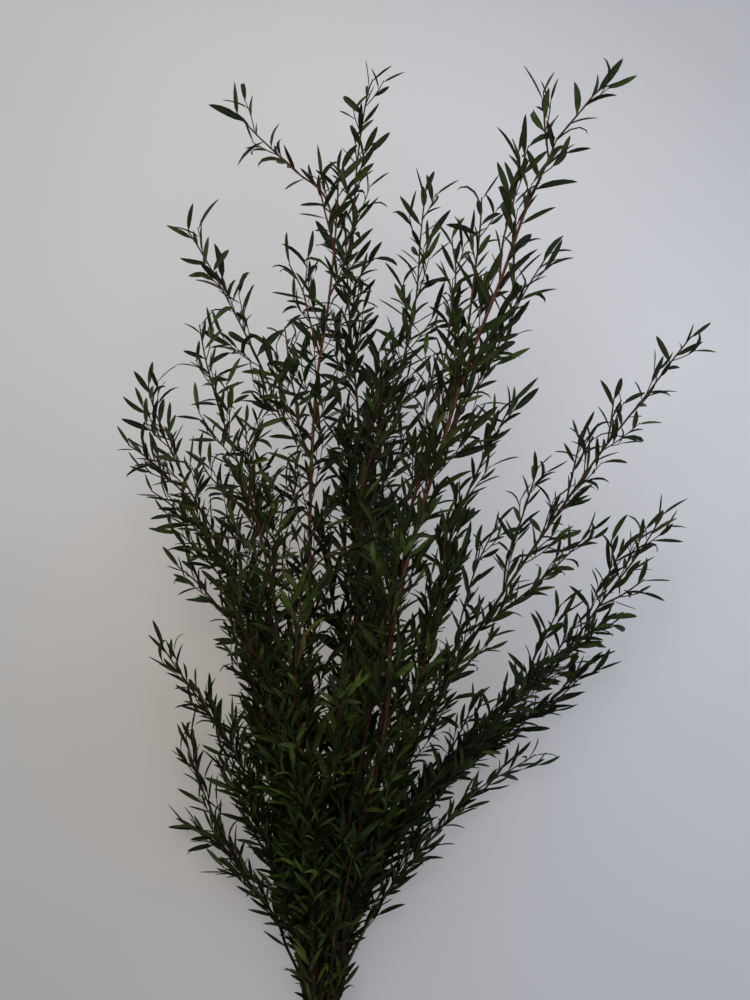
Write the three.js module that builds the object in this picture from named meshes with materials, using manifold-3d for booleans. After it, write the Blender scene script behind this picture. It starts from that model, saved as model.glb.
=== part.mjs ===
import * as THREE from "three";
import Module from "manifold-3d";

// A bunch of preserved leptospermum stems, cut and laid down. Millimetres, +Z up. It lies on the plane
// z = 0 with its cut ends towards -Y and its tips towards +Y. Each leafy stem grew as one piece and is one
// mesh.

// The whole bunch
const CUT_LENGTH = 84; // of stem from the place where the bunch is gathered to the cut ends
const BARE_FOOT = 48; // length above its cut end where no stem has shoots
const CUT_UNEVEN = 9; // the cut ends differ by up to this, to both sides
const GATHERED_PITCH = 6.3; // between the middles of two neighbours where the bunch is gathered
const CUT_GAP = 0.3; // between two neighbours at their cut ends
const ROW_RISE = Math.sqrt(3) / 2; // from one row of the bundle to the next, as a share of the pitch
const RISE_EASE = 45; // over this length the gathered stems turn from level to their own rise
const ORIGIN = new THREE.Vector2(75, 311); // the middle of the bunch, from the gathered place

// Routes are drawn as seen from straight above, by an eye over MIDDLE. They are true to size at the height
// TRUE_HEIGHT.
const EYE_HEIGHT = 2100;
const TRUE_HEIGHT = 100;
const MIDDLE = new THREE.Vector2(42.4, 388);

// Wood: half thicknesses, and the lengths of the straight pieces that make a curve
const BUTT_RADIUS = 2.2;
const TIP_RADIUS = 0.7;
const BRANCH_RADIUS = 1.05;
const SHOOT_RADIUS = 0.8;
const SHOOT_TIP_RADIUS = 0.66;
const STEM_STEP = 62;
const BRANCH_STEP = 34;
const SHOOT_STEP = 38;
const FORK = 0.85; // most that a twig is as thick as what it grows from

// Shoots stand off the stem and its branches in a spiral, and are counted from the tip down.
const GOLDEN_ANGLE = THREE.MathUtils.degToRad(137.5);
const END_LEAF = 20; // length at the end of a drawn route that its last leaf makes up
const SHOOT_FIRST = 26; // from the tip to the first shoot
const SHOOT_CLOSER = 0.62; // the gap between two near the foot, as a share of that near the tip
const SHOOT_CLOSE_BELOW = 380; // length from the tip to where the gaps are that small
const SHOOT_UNEVEN = 0.25; // a shoot stands off its even place by up to this share of the spacing
const SHOOT_LENGTHS = [0.72, 1.15]; // least and most, as shares of the length that is usual there
const SHOOT_TURN_UNEVEN = 0.5; // radians off the even spiral, to both sides
const SHOOT_LEAST = 22; // length of the first shoot below a tip
const SHOOT_FULL_BELOW = 200; // from here down the shoots have their full length
const SHOOT_FULL_ABOVE = 30; // but the nearer to the bare foot than this, the shorter they are
const SHOOT_ANGLE_LEAST = THREE.MathUtils.degToRad(24);
const SHOOT_ANGLE_MOST = THREE.MathUtils.degToRad(44);
const SHOOT_SWEEP = 0.28; // how far a shoot bends back towards its stem's own direction
const SHOOT_REST = 4.5; // least height of a shoot's tip
const HIGHEST = 214; // that the tip of a shoot or leaf reaches
const OPEN_LEAST = 0.42; // how far shoots and leaves stand off where the bunch is gathered, as a share
const OPEN_FULL = 520; // they stand off fully from this far away from there
const LEAF_FREE = 0.45; // how much less leaves are pressed than shoots, as a share
const BRANCH_BARE = 12; // length without shoots at a branch's foot
const BRANCH_SHOOT = 0.75; // a branch's longest shoot, as a share of its stem's

// Leaves stand in a spiral too, and are counted from the tip down.
const LEAF_FIRST = 1.5; // from the tip to the first leaf
const LEAF_USUAL = 24; // the leaf that the spacings are for
const LEAF_SPACING = 6.4;
const LEAF_SPACING_MOST = 10;
const LEAF_THINNING = 0.3; // what each next leaf adds to the spacing
const LEAF_YOUNG = 0.95; // length of the youngest leaf, as a share of the usual
const LEAF_LENGTHS = [0.76, 1.28];
const LEAF_TURN_UNEVEN = 0.4;
const LEAF_ANGLES = [0.45, 1.4];
const LEAVES_TO_FULL_SIZE = 4;
const LEAF_ANGLE_YOUNG = THREE.MathUtils.degToRad(24);
const LEAF_ANGLE_FULL = THREE.MathUtils.degToRad(50);
const LEAF_FACE_UP = 0.7; // how much its upper face looks up, besides along its twig
const LEAF_TWIST = 1;
const LEAF_WIDTH = 0.168; // share of its length, of a leaf that stands off fully
const LEAF_THICKNESS = 0.8;
const LEAF_BEND = 0.1; // share of its length
const LEAF_SECTIONS = [[0.3, 0.95], [0.66, 0.92]]; // share of the length, share of the width
const LEAF_TURNS = 4; // tries at turning a leaf up until it only touches what the bunch lies on
const LEAF_ROOT = 0.25; // how far its root reaches past the middle of its twig
const SHOOT_BARE = 7; // length without leaves at a shoot's foot
const STEM_LEAFY = 0.55; // share of a stem that carries leaves of its own

// Each solid stem carries one shoot in six and a part of the leaves, out to every tip.
const SHOOTS_KEPT = 6;
const SHOOT_LEAVES_KEPT = 5;
const STEM_LEAVES_KEPT = 11;
const CLEARANCE = 0.35; // between two stems of the bunch

const STEM_SIDES = 6;
const TWIG_SIDES = 3;
const UP = new THREE.Vector3(0, 0, 1);

// Balls that stand for wood and for a leaf (share of its length, share of its width), kept in cubic cells
const WOOD_BALL_STEP = 1.3;
const LEAF_BALLS = [
  [0.2, 0.8], [0.3, 0.85], [0.4, 0.9], [0.5, 1], [0.6, 1], [0.7, 0.8], [0.8, 0.6], [0.9, 0.35], [1, 0.2],
];
const CELL = 12;
const NEIGHBOURS = [-1, 0, 1];
const ROUTE_SPOTS = 2; // spacing of the places on a stem where a branch may start

// Numbers of the hash that stands for chance
const HASH_START = 2166136261;
const HASH_PRIME = 16777619;
const HASH_MIX = 1540483477;
const HASH_SIZE = 4294967296;

// A stem: its column and row in the bundle, its heights at its middle and at its tip, its route (across,
// along) from where it is gathered to the tip, its taper (less than 1 where it stays thick, more where it
// thins early), the share of it that is bare, its longest shoot, the gap between two shoots near its tip,
// how far shoots and leaves stand off (less than 1 for a narrow brush), its usual leaf and its branches,
// each with its own route and the height of its tip.
const STEMS = [
  {
    name: "stem_low_left",
    slot: [-2.5, 0],
    heights: [8, 9],
    route: [[-29, 32], [-37, 54], [-48, 67], [-62, 86], [-75, 105], [-100, 123], [-126, 135]],
    taper: 1.6,
    bare: 0.34,
    shoot: 36,
    gap: 15,
    spread: 1.0,
    leaf: 22,
    colour: 0x303b26,
    branches: [],
  },
  {
    name: "stem_lower_left",
    slot: [-2, 1],
    heights: [46, 62],
    route: [[-15, 26], [-31, 84], [-50, 138], [-68, 182], [-95, 224], [-122, 262], [-137, 288]],
    taper: 1.4,
    bare: 0.05,
    shoot: 52,
    gap: 13,
    spread: 1.0,
    leaf: 23,
    colour: 0x344127,
    branches: [
      { route: [[-27, 72], [-58, 86], [-80, 122], [-100, 168], [-114, 217]], height: 26 },
      { route: [[-38, 100], [-60, 140], [-78, 170], [-92, 196]], height: 50 },
    ],
  },
  {
    name: "stem_far_left",
    slot: [-1, 1],
    heights: [74, 88],
    route: [
      [-12, 40], [-28, 148], [-48, 236], [-72, 332], [-108, 400], [-128, 444], [-138, 474], [-140, 500],
    ],
    taper: 1.2,
    bare: 0.03,
    shoot: 62,
    gap: 18,
    spread: 1,
    leaf: 22,
    colour: 0x3b4a2b,
    branches: [
      { route: [[-29, 152], [-38, 180], [-51, 204], [-74, 232]], height: 84 },
      { route: [[-58, 276], [-72, 290], [-100, 322], [-130, 346]], height: 52 },
      { route: [[-80, 354], [-98, 366], [-126, 388], [-152, 406]], height: 66 },
      { route: [[-95, 381], [-115, 398], [-143, 424], [-172, 442]], height: 104 },
      { route: [[-62, 300], [-84, 330], [-110, 358], [-138, 376]], height: 80 },
    ],
  },
  {
    name: "stem_upper_left",
    slot: [-1.5, 2],
    heights: [112, 146],
    route: [[-10, 36], [-23, 180], [-38, 300], [-54, 380], [-78, 448], [-93, 500], [-101, 548]],
    taper: 1.2,
    bare: 0,
    shoot: 66,
    gap: 22,
    spread: 1.1,
    leaf: 22,
    colour: 0x415030,
    branches: [
      { route: [[-27, 214], [-44, 246], [-66, 290], [-80, 322]], height: 150 },
      { route: [[-49, 360], [-70, 388], [-92, 410], [-103, 440]], height: 100 },
      { route: [[-40, 310], [-36, 350], [-31, 384], [-28, 416]], height: 128 },
      { route: [[-46, 345], [-54, 390], [-60, 430], [-62, 470]], height: 120 },
    ],
  },
  {
    name: "stem_back_left",
    slot: [-0.5, 0],
    heights: [17, 27],
    route: [[-8, 40], [-22, 120], [-36, 220], [-50, 300], [-54, 360], [-60, 432]],
    taper: 1.3,
    bare: 0,
    shoot: 66,
    gap: 17,
    spread: 1,
    leaf: 23,
    colour: 0x28321f,
    branches: [
      { route: [[-26, 150], [-42, 176], [-54, 202], [-68, 222]], height: 16 },
      { route: [[-38, 232], [-52, 258], [-68, 284], [-86, 318]], height: 40 },
    ],
  },
  {
    name: "stem_front",
    slot: [-1, 3],
    heights: [98, 156],
    route: [[-6, 60], [-14, 148], [-20, 228], [-20, 276], [-13, 338]],
    taper: 1,
    bare: 0,
    shoot: 58,
    gap: 16,
    spread: 0.9,
    leaf: 26,
    colour: 0x4a5a31,
    branches: [
      { route: [[-12, 130], [4, 160], [14, 204], [17, 262]], height: 176 },
    ],
  },
  {
    name: "stem_tall_left",
    slot: [-0.5, 2],
    heights: [112, 150],
    route: [
      [-5, 60], [-10, 180], [-10, 300], [-9, 400], [-4, 484], [5, 544], [11, 604], [14, 664],
    ],
    taper: 0.7,
    bare: 0,
    shoot: 62,
    gap: 25,
    spread: 1.1,
    leaf: 25,
    colour: 0x36432a,
    branches: [
      { route: [[-11, 330], [4, 344], [24, 352], [46, 360]], height: 148 },
      { route: [[-9, 420], [-28, 450], [-54, 506], [-94, 582], [-119, 621]], height: 152 },
      { route: [[-3, 504], [-11, 536], [-15, 554], [-26, 576], [-36, 594]], height: 168 },
      { route: [[11, 606], [0, 634], [-20, 650], [-48, 676], [-74, 700], [-88, 703]], height: 160 },
      { route: [[-10, 270], [-20, 310], [-30, 345], [-34, 384]], height: 130 },
      { route: [[-11, 420], [-18, 444], [-21, 468], [-26, 492], [-29, 520], [-33, 546]], height: 132 },
      { route: [[9, 590], [2, 620], [-2, 640], [-4, 664]], height: 150 },
    ],
  },
  {
    name: "stem_middle",
    slot: [0, 1],
    heights: [66, 98],
    route: [[6, 50], [18, 148], [29, 308], [32, 388], [28, 468], [23, 520], [20, 572], [17, 632]],
    taper: 1,
    bare: 0,
    shoot: 66,
    gap: 20,
    spread: 0.9,
    leaf: 24,
    colour: 0x303c25,
    branches: [
      { route: [[21, 548], [31, 568], [42, 581], [62, 583]], height: 112 },
      { route: [[20, 574], [25, 612], [28, 656], [34, 700], [38, 718], [50, 742]], height: 116 },
      { route: [[24, 240], [14, 280], [6, 320], [2, 360], [-2, 400]], height: 84 },
      { route: [[32, 430], [48, 462], [62, 486], [72, 512]], height: 104 },
    ],
  },
  {
    name: "stem_back",
    slot: [0.5, 0],
    heights: [20, 30],
    route: [[8, 50], [16, 120], [32, 240], [44, 340], [50, 428], [47, 480], [44, 526]],
    taper: 1.3,
    bare: 0,
    shoot: 70,
    gap: 18,
    spread: 0.9,
    leaf: 24,
    colour: 0x252e1d,
    branches: [
      { route: [[27, 200], [44, 232], [66, 262], [80, 300]], height: 16 },
    ],
  },
  {
    name: "stem_upper_middle",
    slot: [0.5, 2],
    heights: [98, 124],
    route: [
      [10, 60], [22, 148], [26, 268], [34, 404], [47, 444], [62, 488], [75, 548], [79, 600], [82, 628],
      [85, 656],
    ],
    taper: 1.2,
    bare: 0,
    shoot: 62,
    gap: 22,
    spread: 1.0,
    leaf: 24,
    colour: 0x36432a,
    branches: [
      { route: [[30, 350], [20, 384], [14, 410], [12, 432]], height: 120 },
    ],
  },
  {
    name: "stem_upper_right",
    slot: [0, 3],
    heights: [140, 168],
    route: [
      [7, 44], [22, 132], [40, 228], [54, 308], [66, 364], [90, 440], [114, 512], [121, 560], [127, 612],
      [128, 650],
    ],
    taper: 0.8,
    bare: 0,
    shoot: 58,
    gap: 28,
    spread: 0.9,
    leaf: 25,
    colour: 0x3b482c,
    branches: [
      { route: [[90, 440], [95, 480], [103, 534], [107, 572], [104, 596], [105, 618]], height: 138 },
    ],
  },
  {
    name: "stem_tall_right",
    slot: [1, 3],
    heights: [166, 196],
    route: [
      [20, 84], [49, 196], [57, 288], [76, 368], [95, 428], [112, 484], [146, 572], [163, 620], [186, 672],
      [194, 696],
    ],
    taper: 0.5,
    bare: 0,
    shoot: 48,
    gap: 36,
    spread: 0.75,
    leaf: 28,
    colour: 0x313e27,
    branches: [
      { route: [[95, 430], [110, 456], [134, 498], [162, 554], [178, 580], [193, 602]], height: 150 },
      { route: [[142, 562], [145, 596], [152, 622], [157, 652], [156, 688]], height: 204 },
      { route: [[181, 660], [178, 690], [177, 735]], height: 184 },
      { route: [[192, 686], [206, 698], [222, 716], [246, 728]], height: 190 },
      { route: [[116, 494], [136, 520], [150, 550], [162, 584]], height: 160 },
      { route: [[92, 420], [104, 440], [120, 458], [134, 478]], height: 140 },
    ],
  },
  {
    name: "stem_inner_right",
    slot: [2, 3],
    heights: [128, 172],
    route: [
      [18, 36], [38, 108], [58, 172], [74, 228], [93, 304], [102, 356], [125, 412], [142, 446], [162, 486],
    ],
    taper: 0.9,
    bare: 0.01,
    shoot: 50,
    gap: 21,
    spread: 0.65,
    leaf: 24,
    colour: 0x37442a,
    branches: [
      { route: [[66, 200], [84, 226], [100, 250], [108, 282]], height: 140 },
    ],
  },
  {
    name: "stem_far_right",
    slot: [1.5, 2],
    heights: [88, 112],
    route: [
      [15, 44], [34, 100], [54, 148], [90, 220], [120, 276], [145, 314], [196, 388], [226, 430], [261, 474],
      [282, 502], [308, 534],
    ],
    taper: 1,
    bare: 0.02,
    shoot: 46,
    gap: 29,
    spread: 0.9,
    leaf: 22,
    colour: 0x3a482c,
    branches: [
      { route: [[90, 220], [102, 252], [114, 304], [125, 338], [150, 388]], height: 60 },
      { route: [[124, 282], [146, 300], [182, 330], [229, 378]], height: 64 },
      { route: [[145, 314], [148, 340], [158, 368], [179, 434]], height: 104 },
      { route: [[196, 388], [202, 416], [212, 462]], height: 124 },
      { route: [[228, 434], [231, 450], [236, 488]], height: 92 },
    ],
  },
  {
    name: "stem_right",
    slot: [1, 1],
    heights: [56, 60],
    route: [
      [17, 40], [38, 84], [62, 124], [86, 156], [138, 212], [197, 270], [225, 308], [258, 352], [282, 394],
    ],
    taper: 1,
    bare: 0.03,
    shoot: 44,
    gap: 21,
    spread: 0.9,
    leaf: 22,
    colour: 0x2c3722,
    branches: [
      { route: [[200, 274], [214, 282], [228, 292], [246, 302]], height: 38 },
      { route: [[222, 303], [240, 312], [256, 323], [273, 334]], height: 44 },
      { route: [[225, 308], [229, 326], [232, 344], [229, 374]], height: 86 },
      { route: [[160, 232], [170, 262], [184, 290], [200, 322]], height: 70 },
      { route: [[86, 156], [102, 186], [116, 214], [128, 246]], height: 60 },
    ],
  },
  {
    name: "stem_lower_right",
    slot: [1.5, 0],
    heights: [17, 19],
    route: [[20, 40], [42, 92], [62, 128], [82, 152], [126, 192], [170, 218], [202, 244], [229, 274]],
    taper: 1,
    bare: 0.1,
    shoot: 42,
    gap: 12,
    spread: 0.75,
    leaf: 23,
    colour: 0x262f1d,
    branches: [
      { route: [[134, 199], [150, 222], [165, 244], [178, 266]], height: 32 },
    ],
  },
  {
    name: "stem_low_right",
    slot: [2, 1],
    heights: [19, 15],
    route: [[19, 14], [38, 52], [58, 82], [82, 110], [104, 136], [127, 158], [154, 174], [187, 194]],
    taper: 1.6,
    bare: 0.3,
    shoot: 34,
    gap: 16,
    spread: 0.9,
    leaf: 22,
    colour: 0x2e3924,
    branches: [
      { route: [[54, 76], [66, 104], [88, 144], [110, 172], [142, 196]], height: 42 },
    ],
  },
];

const wasm = await Module();
wasm.setup();

// A number from 0 to 1 that looks random and depends only on the keys.
function draw(...keys) {
  let hash = HASH_START;
  for (const key of keys) {
    hash = Math.imul(hash ^ (key + 1), HASH_PRIME);
    hash ^= hash >>> 13;
    hash = Math.imul(hash, HASH_MIX);
    hash ^= hash >>> 15;
  }
  return (hash >>> 0) / HASH_SIZE;
}

// A number from low to high, by draw.
function between(low, high, ...keys) {
  return low + (high - low) * draw(...keys);
}

// The place in the model of a point drawn as seen from above: across, along and its height.
function place([across, along], height) {
  const scale = (EYE_HEIGHT - height) / (EYE_HEIGHT - TRUE_HEIGHT);
  return new THREE.Vector3(
    MIDDLE.x + (across - MIDDLE.x) * scale - ORIGIN.x,
    MIDDLE.y + (along - MIDDLE.y) * scale - ORIGIN.y,
    height,
  );
}

// How far along its drawn route each point lies, from 0 to 1.
function shares(route) {
  const lengths = [0];
  for (let i = 1; i < route.length; i++) {
    const step = Math.hypot(route[i][0] - route[i - 1][0], route[i][1] - route[i - 1][1]);
    lengths.push(lengths[i - 1] + step);
  }
  return lengths.map((length) => length / lengths.at(-1));
}

// Where a stem runs in the bundle, across and up, for a pitch between neighbours.
function slotPlace([column, row], pitch) {
  return [column * pitch, BUTT_RADIUS + row * pitch * ROW_RISE];
}

// The curve of a stem from its cut end to its tip. Its height is a parabola through three heights, which it
// joins from the level bundle.
function stemCurve(stem, index) {
  const [across, low] = slotPlace(stem.slot, GATHERED_PITCH);
  const [cutAcross, cutLow] = slotPlace(stem.slot, 2 * BUTT_RADIUS + CUT_GAP);
  const [middle, tip] = stem.heights;
  const route = [[across, 0], ...stem.route];
  const points = shares(route).map((s, i) => {
    const rise = (4 * middle - 3 * low - tip) * s + (2 * low - 4 * middle + 2 * tip) * s * s;
    const eased = 1 - Math.exp(-route[i][1] / RISE_EASE);
    return place(route[i], low + rise * eased);
  });
  const cutAlong = -CUT_LENGTH + between(-CUT_UNEVEN, CUT_UNEVEN, index);
  const cutEnd = place([cutAcross, cutAlong], cutLow);
  return new THREE.CatmullRomCurve3([cutEnd, ...points], false, "centripetal");
}

// The drawn point, across and along, of a place in the model.
function drawnPoint(point) {
  const scale = (EYE_HEIGHT - point.z) / (EYE_HEIGHT - TRUE_HEIGHT);
  return new THREE.Vector2(
    MIDDLE.x + (point.x + ORIGIN.x - MIDDLE.x) / scale,
    MIDDLE.y + (point.y + ORIGIN.y - MIDDLE.y) / scale,
  );
}

// The curve of a branch. Its first point is moved onto the stem, at the nearest place.
function branchCurve(branch, stemAxis) {
  const start = new THREE.Vector2(...branch.route[0]);
  const away = (point) => drawnPoint(point).distanceTo(start);
  const root = stemAxis
    .spots(ROUTE_SPOTS)
    .reduce((best, spot) => (away(spot) < away(best) ? spot : best));
  const points = shares(branch.route).map((s, i) =>
    i === 0 ? root : place(branch.route[i], THREE.MathUtils.lerp(root.z, branch.height, s)),
  );
  return new THREE.CatmullRomCurve3(points, false, "centripetal");
}

// A twig of any size: a chain of straight pieces along a curve, whose last bit may be left to its end leaf.
class Twig {
  constructor(curve, step, startRadius, endRadius, endLeaf) {
    this.curve = curve;
    this.length = curve.getLength() - endLeaf;
    this.reach = this.length / curve.getLength();
    const pieces = Math.ceil(this.length / step);
    this.points = Array.from({ length: pieces + 1 }, (_, i) =>
      curve.getPointAt((this.reach * i) / pieces),
    );
    this.startRadius = startRadius;
    this.endRadius = endRadius;
    this.taper = 1;
  }

  // The point at a share of its length.
  at(s) {
    const position = THREE.MathUtils.clamp(s, 0, 1) * (this.points.length - 1);
    const i = Math.min(Math.floor(position), this.points.length - 2);
    return this.points[i].clone().lerp(this.points[i + 1], position - i);
  }

  tangent(s) {
    return this.curve.getTangentAt(this.reach * THREE.MathUtils.clamp(s, 0, 1));
  }

  radius(s) {
    return THREE.MathUtils.lerp(this.endRadius, this.startRadius, (1 - s) ** this.taper);
  }

  // Points along it, about this far apart.
  spots(spacing) {
    const count = Math.ceil(this.length / spacing);
    return Array.from({ length: count + 1 }, (_, i) => this.at(i / count));
  }
}

// A direction off a twig's own, by an angle and at a turn around it.
function leaning(tangent, turn, angle) {
  const side = new THREE.Vector3().crossVectors(tangent, UP).normalize();
  const lift = new THREE.Vector3().crossVectors(side, tangent);
  return tangent
    .clone()
    .multiplyScalar(Math.cos(angle))
    .addScaledVector(side, Math.sin(angle) * Math.cos(turn))
    .addScaledVector(lift, Math.sin(angle) * Math.sin(turn));
}

// The same direction, turned up or down where its end would come lower or higher than it may.
function keptBetween(direction, root, length, least) {
  const lowest = (least - root.z) / length;
  const highest = (HIGHEST - root.z) / length;
  const rise = Math.max(Math.min(direction.z, highest), lowest);
  if (rise === direction.z) return direction;
  const rest = Math.sqrt(1 - rise * rise) / Math.hypot(direction.x, direction.y);
  return new THREE.Vector3(direction.x * rest, direction.y * rest, rise);
}

// How far shoots and leaves stand off at a place. The bunch presses them together near its foot.
function openness(point) {
  const away = Math.hypot(point.x + ORIGIN.x, point.y + ORIGIN.y);
  return THREE.MathUtils.lerp(OPEN_LEAST, 1, Math.min(1, away / OPEN_FULL));
}

// The same for leaves, which are pressed less.
function leafOpenness(point) {
  return THREE.MathUtils.lerp(openness(point), 1, LEAF_FREE);
}

// The shoots of a stem or branch, from its tip down to its bare part.
function shootsOf(twig, keys) {
  const shoots = [];
  let even = SHOOT_FIRST;
  for (let k = 0; ; k++) {
    const gap = twig.gap * THREE.MathUtils.lerp(1, SHOOT_CLOSER, Math.min(1, even / SHOOT_CLOSE_BELOW));
    const below = even + gap * between(-SHOOT_UNEVEN, SHOOT_UNEVEN, ...keys, k, 1);
    const above = twig.length - twig.bare - below;
    if (above < 0) return shoots;
    const s = 1 - below / twig.length;
    const share = Math.min(1, below / SHOOT_FULL_BELOW, above / SHOOT_FULL_ABOVE);
    const usual = THREE.MathUtils.lerp(SHOOT_LEAST, twig.shoot, share);
    const length = usual * between(...SHOOT_LENGTHS, ...keys, k, 2);
    const turn = k * GOLDEN_ANGLE + between(-SHOOT_TURN_UNEVEN, SHOOT_TURN_UNEVEN, ...keys, k, 3);
    const root = twig.at(s);
    const usualAngle = between(SHOOT_ANGLE_LEAST, SHOOT_ANGLE_MOST, ...keys, k, 4);
    const angle = twig.spread * openness(root) * usualAngle;
    const along = twig.tangent(s);
    const direction = keptBetween(leaning(along, turn, angle), root, length, SHOOT_REST);
    const bend = root.clone().addScaledVector(direction, length / 2);
    const end = root
      .clone()
      .addScaledVector(direction, length * (1 - SHOOT_SWEEP))
      .addScaledVector(along, length * SHOOT_SWEEP);
    end.z = Math.max(end.z, SHOOT_REST);
    const curve = new THREE.QuadraticBezierCurve3(root, bend, end);
    const radius = Math.min(SHOOT_RADIUS, FORK * twig.radius(s));
    const shoot = new Twig(curve, SHOOT_STEP, radius, Math.min(radius, SHOOT_TIP_RADIUS), 0);
    shoot.keys = [...keys, k];
    shoot.spread = twig.spread;
    shoots.push(shoot);
    even += gap;
  }
}

// A leaf whose upper face looks along its twig and up, turned about its own length by a twist. Leaves that
// are pressed together are narrower.
function openLeaf(root, direction, along, length, twist) {
  const facing = along.clone().addScaledVector(UP, LEAF_FACE_UP);
  const face = facing.addScaledVector(direction, -facing.dot(direction)).normalize();
  const width = LEAF_WIDTH * length * Math.sqrt(leafOpenness(root));
  return { root, direction, length, width, face: face.applyAxisAngle(direction, twist) };
}

// The lowest height that a leaf's edges, rib and tip reach.
function lowestOf(leaf) {
  return Math.min(...leafSections(leaf).flat().map((point) => point.z), leafMiddle(leaf, 1).z);
}

// The leaves of a twig, from its tip downwards. The first one ends it.
function leavesOf(twig, leafyLength, usual, keys) {
  const leaves = [];
  let below = LEAF_FIRST;
  for (let j = 0; below <= leafyLength; j++) {
    const s = 1 - below / twig.length;
    const young = Math.min(1, (j + 1) / LEAVES_TO_FULL_SIZE);
    const size = THREE.MathUtils.lerp(LEAF_YOUNG, 1, young);
    const length = usual * size * between(...LEAF_LENGTHS, ...keys, j, 5);
    const turn = j * GOLDEN_ANGLE + between(-LEAF_TURN_UNEVEN, LEAF_TURN_UNEVEN, ...keys, j, 6);
    const root = twig.at(s);
    const usualAngle = THREE.MathUtils.lerp(LEAF_ANGLE_YOUNG, LEAF_ANGLE_FULL, young);
    const share = twig.spread * leafOpenness(root) * between(...LEAF_ANGLES, ...keys, j, 7);
    const along = twig.tangent(s);
    const twist = between(-LEAF_TWIST, LEAF_TWIST, ...keys, j, 8);
    const direction = keptBetween(leaning(along, turn, usualAngle * share), root, length, 0);
    let leaf = openLeaf(root, direction, along, length, twist);
    for (let i = 0; i < LEAF_TURNS && lowestOf(leaf) < 0; i++) {
      const tip = root.z + leaf.direction.z * length - lowestOf(leaf);
      const higher = keptBetween(leaf.direction, root, length, tip);
      leaf = openLeaf(root, higher, along, length, twist);
    }
    leaves.push(leaf);
    const spacing = Math.min(LEAF_SPACING + LEAF_THINNING * j, LEAF_SPACING_MOST);
    below += (spacing * usual) / LEAF_USUAL;
  }
  return leaves;
}

// A closed body through rings of points, counterclockwise as seen from its far end. A ring of one point is
// a tip.
function body(rings) {
  const vertices = rings.flat().flatMap((point) => point.toArray());
  const triangles = [];
  let start = 0;
  const cap = (first, size, far) => {
    for (let i = 1; i < size - 1; i++) {
      triangles.push(first, ...(far ? [first + i, first + i + 1] : [first + i + 1, first + i]));
    }
  };
  cap(0, rings[0].length, false);
  for (let k = 0; k < rings.length - 1; k++) {
    const [near, far] = [rings[k].length, rings[k + 1].length];
    const next = start + near;
    for (let i = 0; i < Math.max(near, far); i++) {
      const j = (i + 1) % Math.max(near, far);
      if (near === 1) triangles.push(start, next + j, next + i);
      else if (far === 1) triangles.push(start + i, start + j, next);
      else triangles.push(start + i, start + j, next + j, start + i, next + j, next + i);
    }
    start = next;
  }
  cap(start, rings.at(-1).length, true);
  const mesh = new wasm.Mesh({
    numProp: 3,
    vertProperties: new Float32Array(vertices),
    triVerts: new Uint32Array(triangles),
  });
  return new wasm.Manifold(mesh);
}

// The wood of a twig, with flat sides.
function woodBody(twig, sides) {
  const last = twig.points.length - 1;
  const rings = twig.points.map((point, k) => {
    const tangent = twig.tangent(k / last);
    const radius = twig.radius(k / last);
    return Array.from({ length: sides }, (_, i) => {
      const out = leaning(tangent, -(i * 2 * Math.PI) / sides, Math.PI / 2);
      return out.multiplyScalar(radius).add(point);
    });
  });
  return body(rings);
}

// The middle line of a leaf at a share of its length. It bends back, away from its upper face.
function leafMiddle(leaf, s) {
  return leaf.root
    .clone()
    .addScaledVector(leaf.direction, leaf.length * s)
    .addScaledVector(leaf.face, -leaf.length * LEAF_BEND * s * s);
}

// The cross sections of a leaf: two edges, and a rib below that gives it its thickness.
function leafSections(leaf) {
  const across = new THREE.Vector3().crossVectors(leaf.face, leaf.direction);
  return LEAF_SECTIONS.map(([s, share]) => {
    const middle = leafMiddle(leaf, s);
    const half = (share * leaf.width) / 2;
    return [
      middle.clone().addScaledVector(across, half),
      middle.clone().addScaledVector(across, -half),
      middle.clone().addScaledVector(leaf.face, -LEAF_THICKNESS),
    ];
  });
}

function leafBody(leaf) {
  const root = leaf.root.clone().addScaledVector(leaf.direction, -LEAF_ROOT);
  return body([[root], ...leafSections(leaf), [leafMiddle(leaf, 1)]]);
}

// Holds what is already placed, as balls, to find what would come too near another stem or cross a leaf.
class Space {
  cells = new Map();

  add(balls) {
    for (const ball of balls) {
      const name = this.cell(ball.centre, 0, 0, 0);
      if (!this.cells.has(name)) this.cells.set(name, []);
      this.cells.get(name).push(ball);
    }
  }

  cell(point, i, j, k) {
    const [x, y, z] = point.toArray().map((value) => Math.floor(value / CELL));
    return `${x + i},${y + j},${z + k}`;
  }

  hits(ball) {
    for (const i of NEIGHBOURS) {
      for (const j of NEIGHBOURS) {
        for (const k of NEIGHBOURS) {
          const others = this.cells.get(this.cell(ball.centre, i, j, k)) ?? [];
          if (others.some((other) => tooNear(ball, other))) return true;
        }
      }
    }
    return false;
  }

  takes(balls) {
    if (balls.some((ball) => this.hits(ball))) return false;
    this.add(balls);
    return true;
  }
}

// Wood may cross other parts of its own stem, and a leaf the wood of its own stem.
function tooNear(ball, other) {
  const mayMeet = ball.stem === other.stem && !(ball.isLeaf && other.isLeaf);
  return !mayMeet && ball.centre.distanceTo(other.centre) < ball.radius + other.radius + CLEARANCE;
}

function woodBalls(twig, stem) {
  const spots = twig.spots(WOOD_BALL_STEP);
  return spots.map((centre, i) => {
    return { centre, radius: twig.radius(i / spots.length), stem, isLeaf: false };
  });
}

function leafBalls(leaf, stem) {
  return LEAF_BALLS.map(([s, share]) => ({
    centre: leafMiddle(leaf, s),
    radius: (share * leaf.width) / 2,
    stem,
    isLeaf: true,
  }));
}

// Takes one item of every few, and where one has no room, the next that has.
function thinned(items, every, hasRoom) {
  let due = 0;
  return items.filter((item, i) => {
    const taken = i >= due && hasRoom(item);
    if (taken) due = i + every;
    return taken;
  });
}

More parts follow.
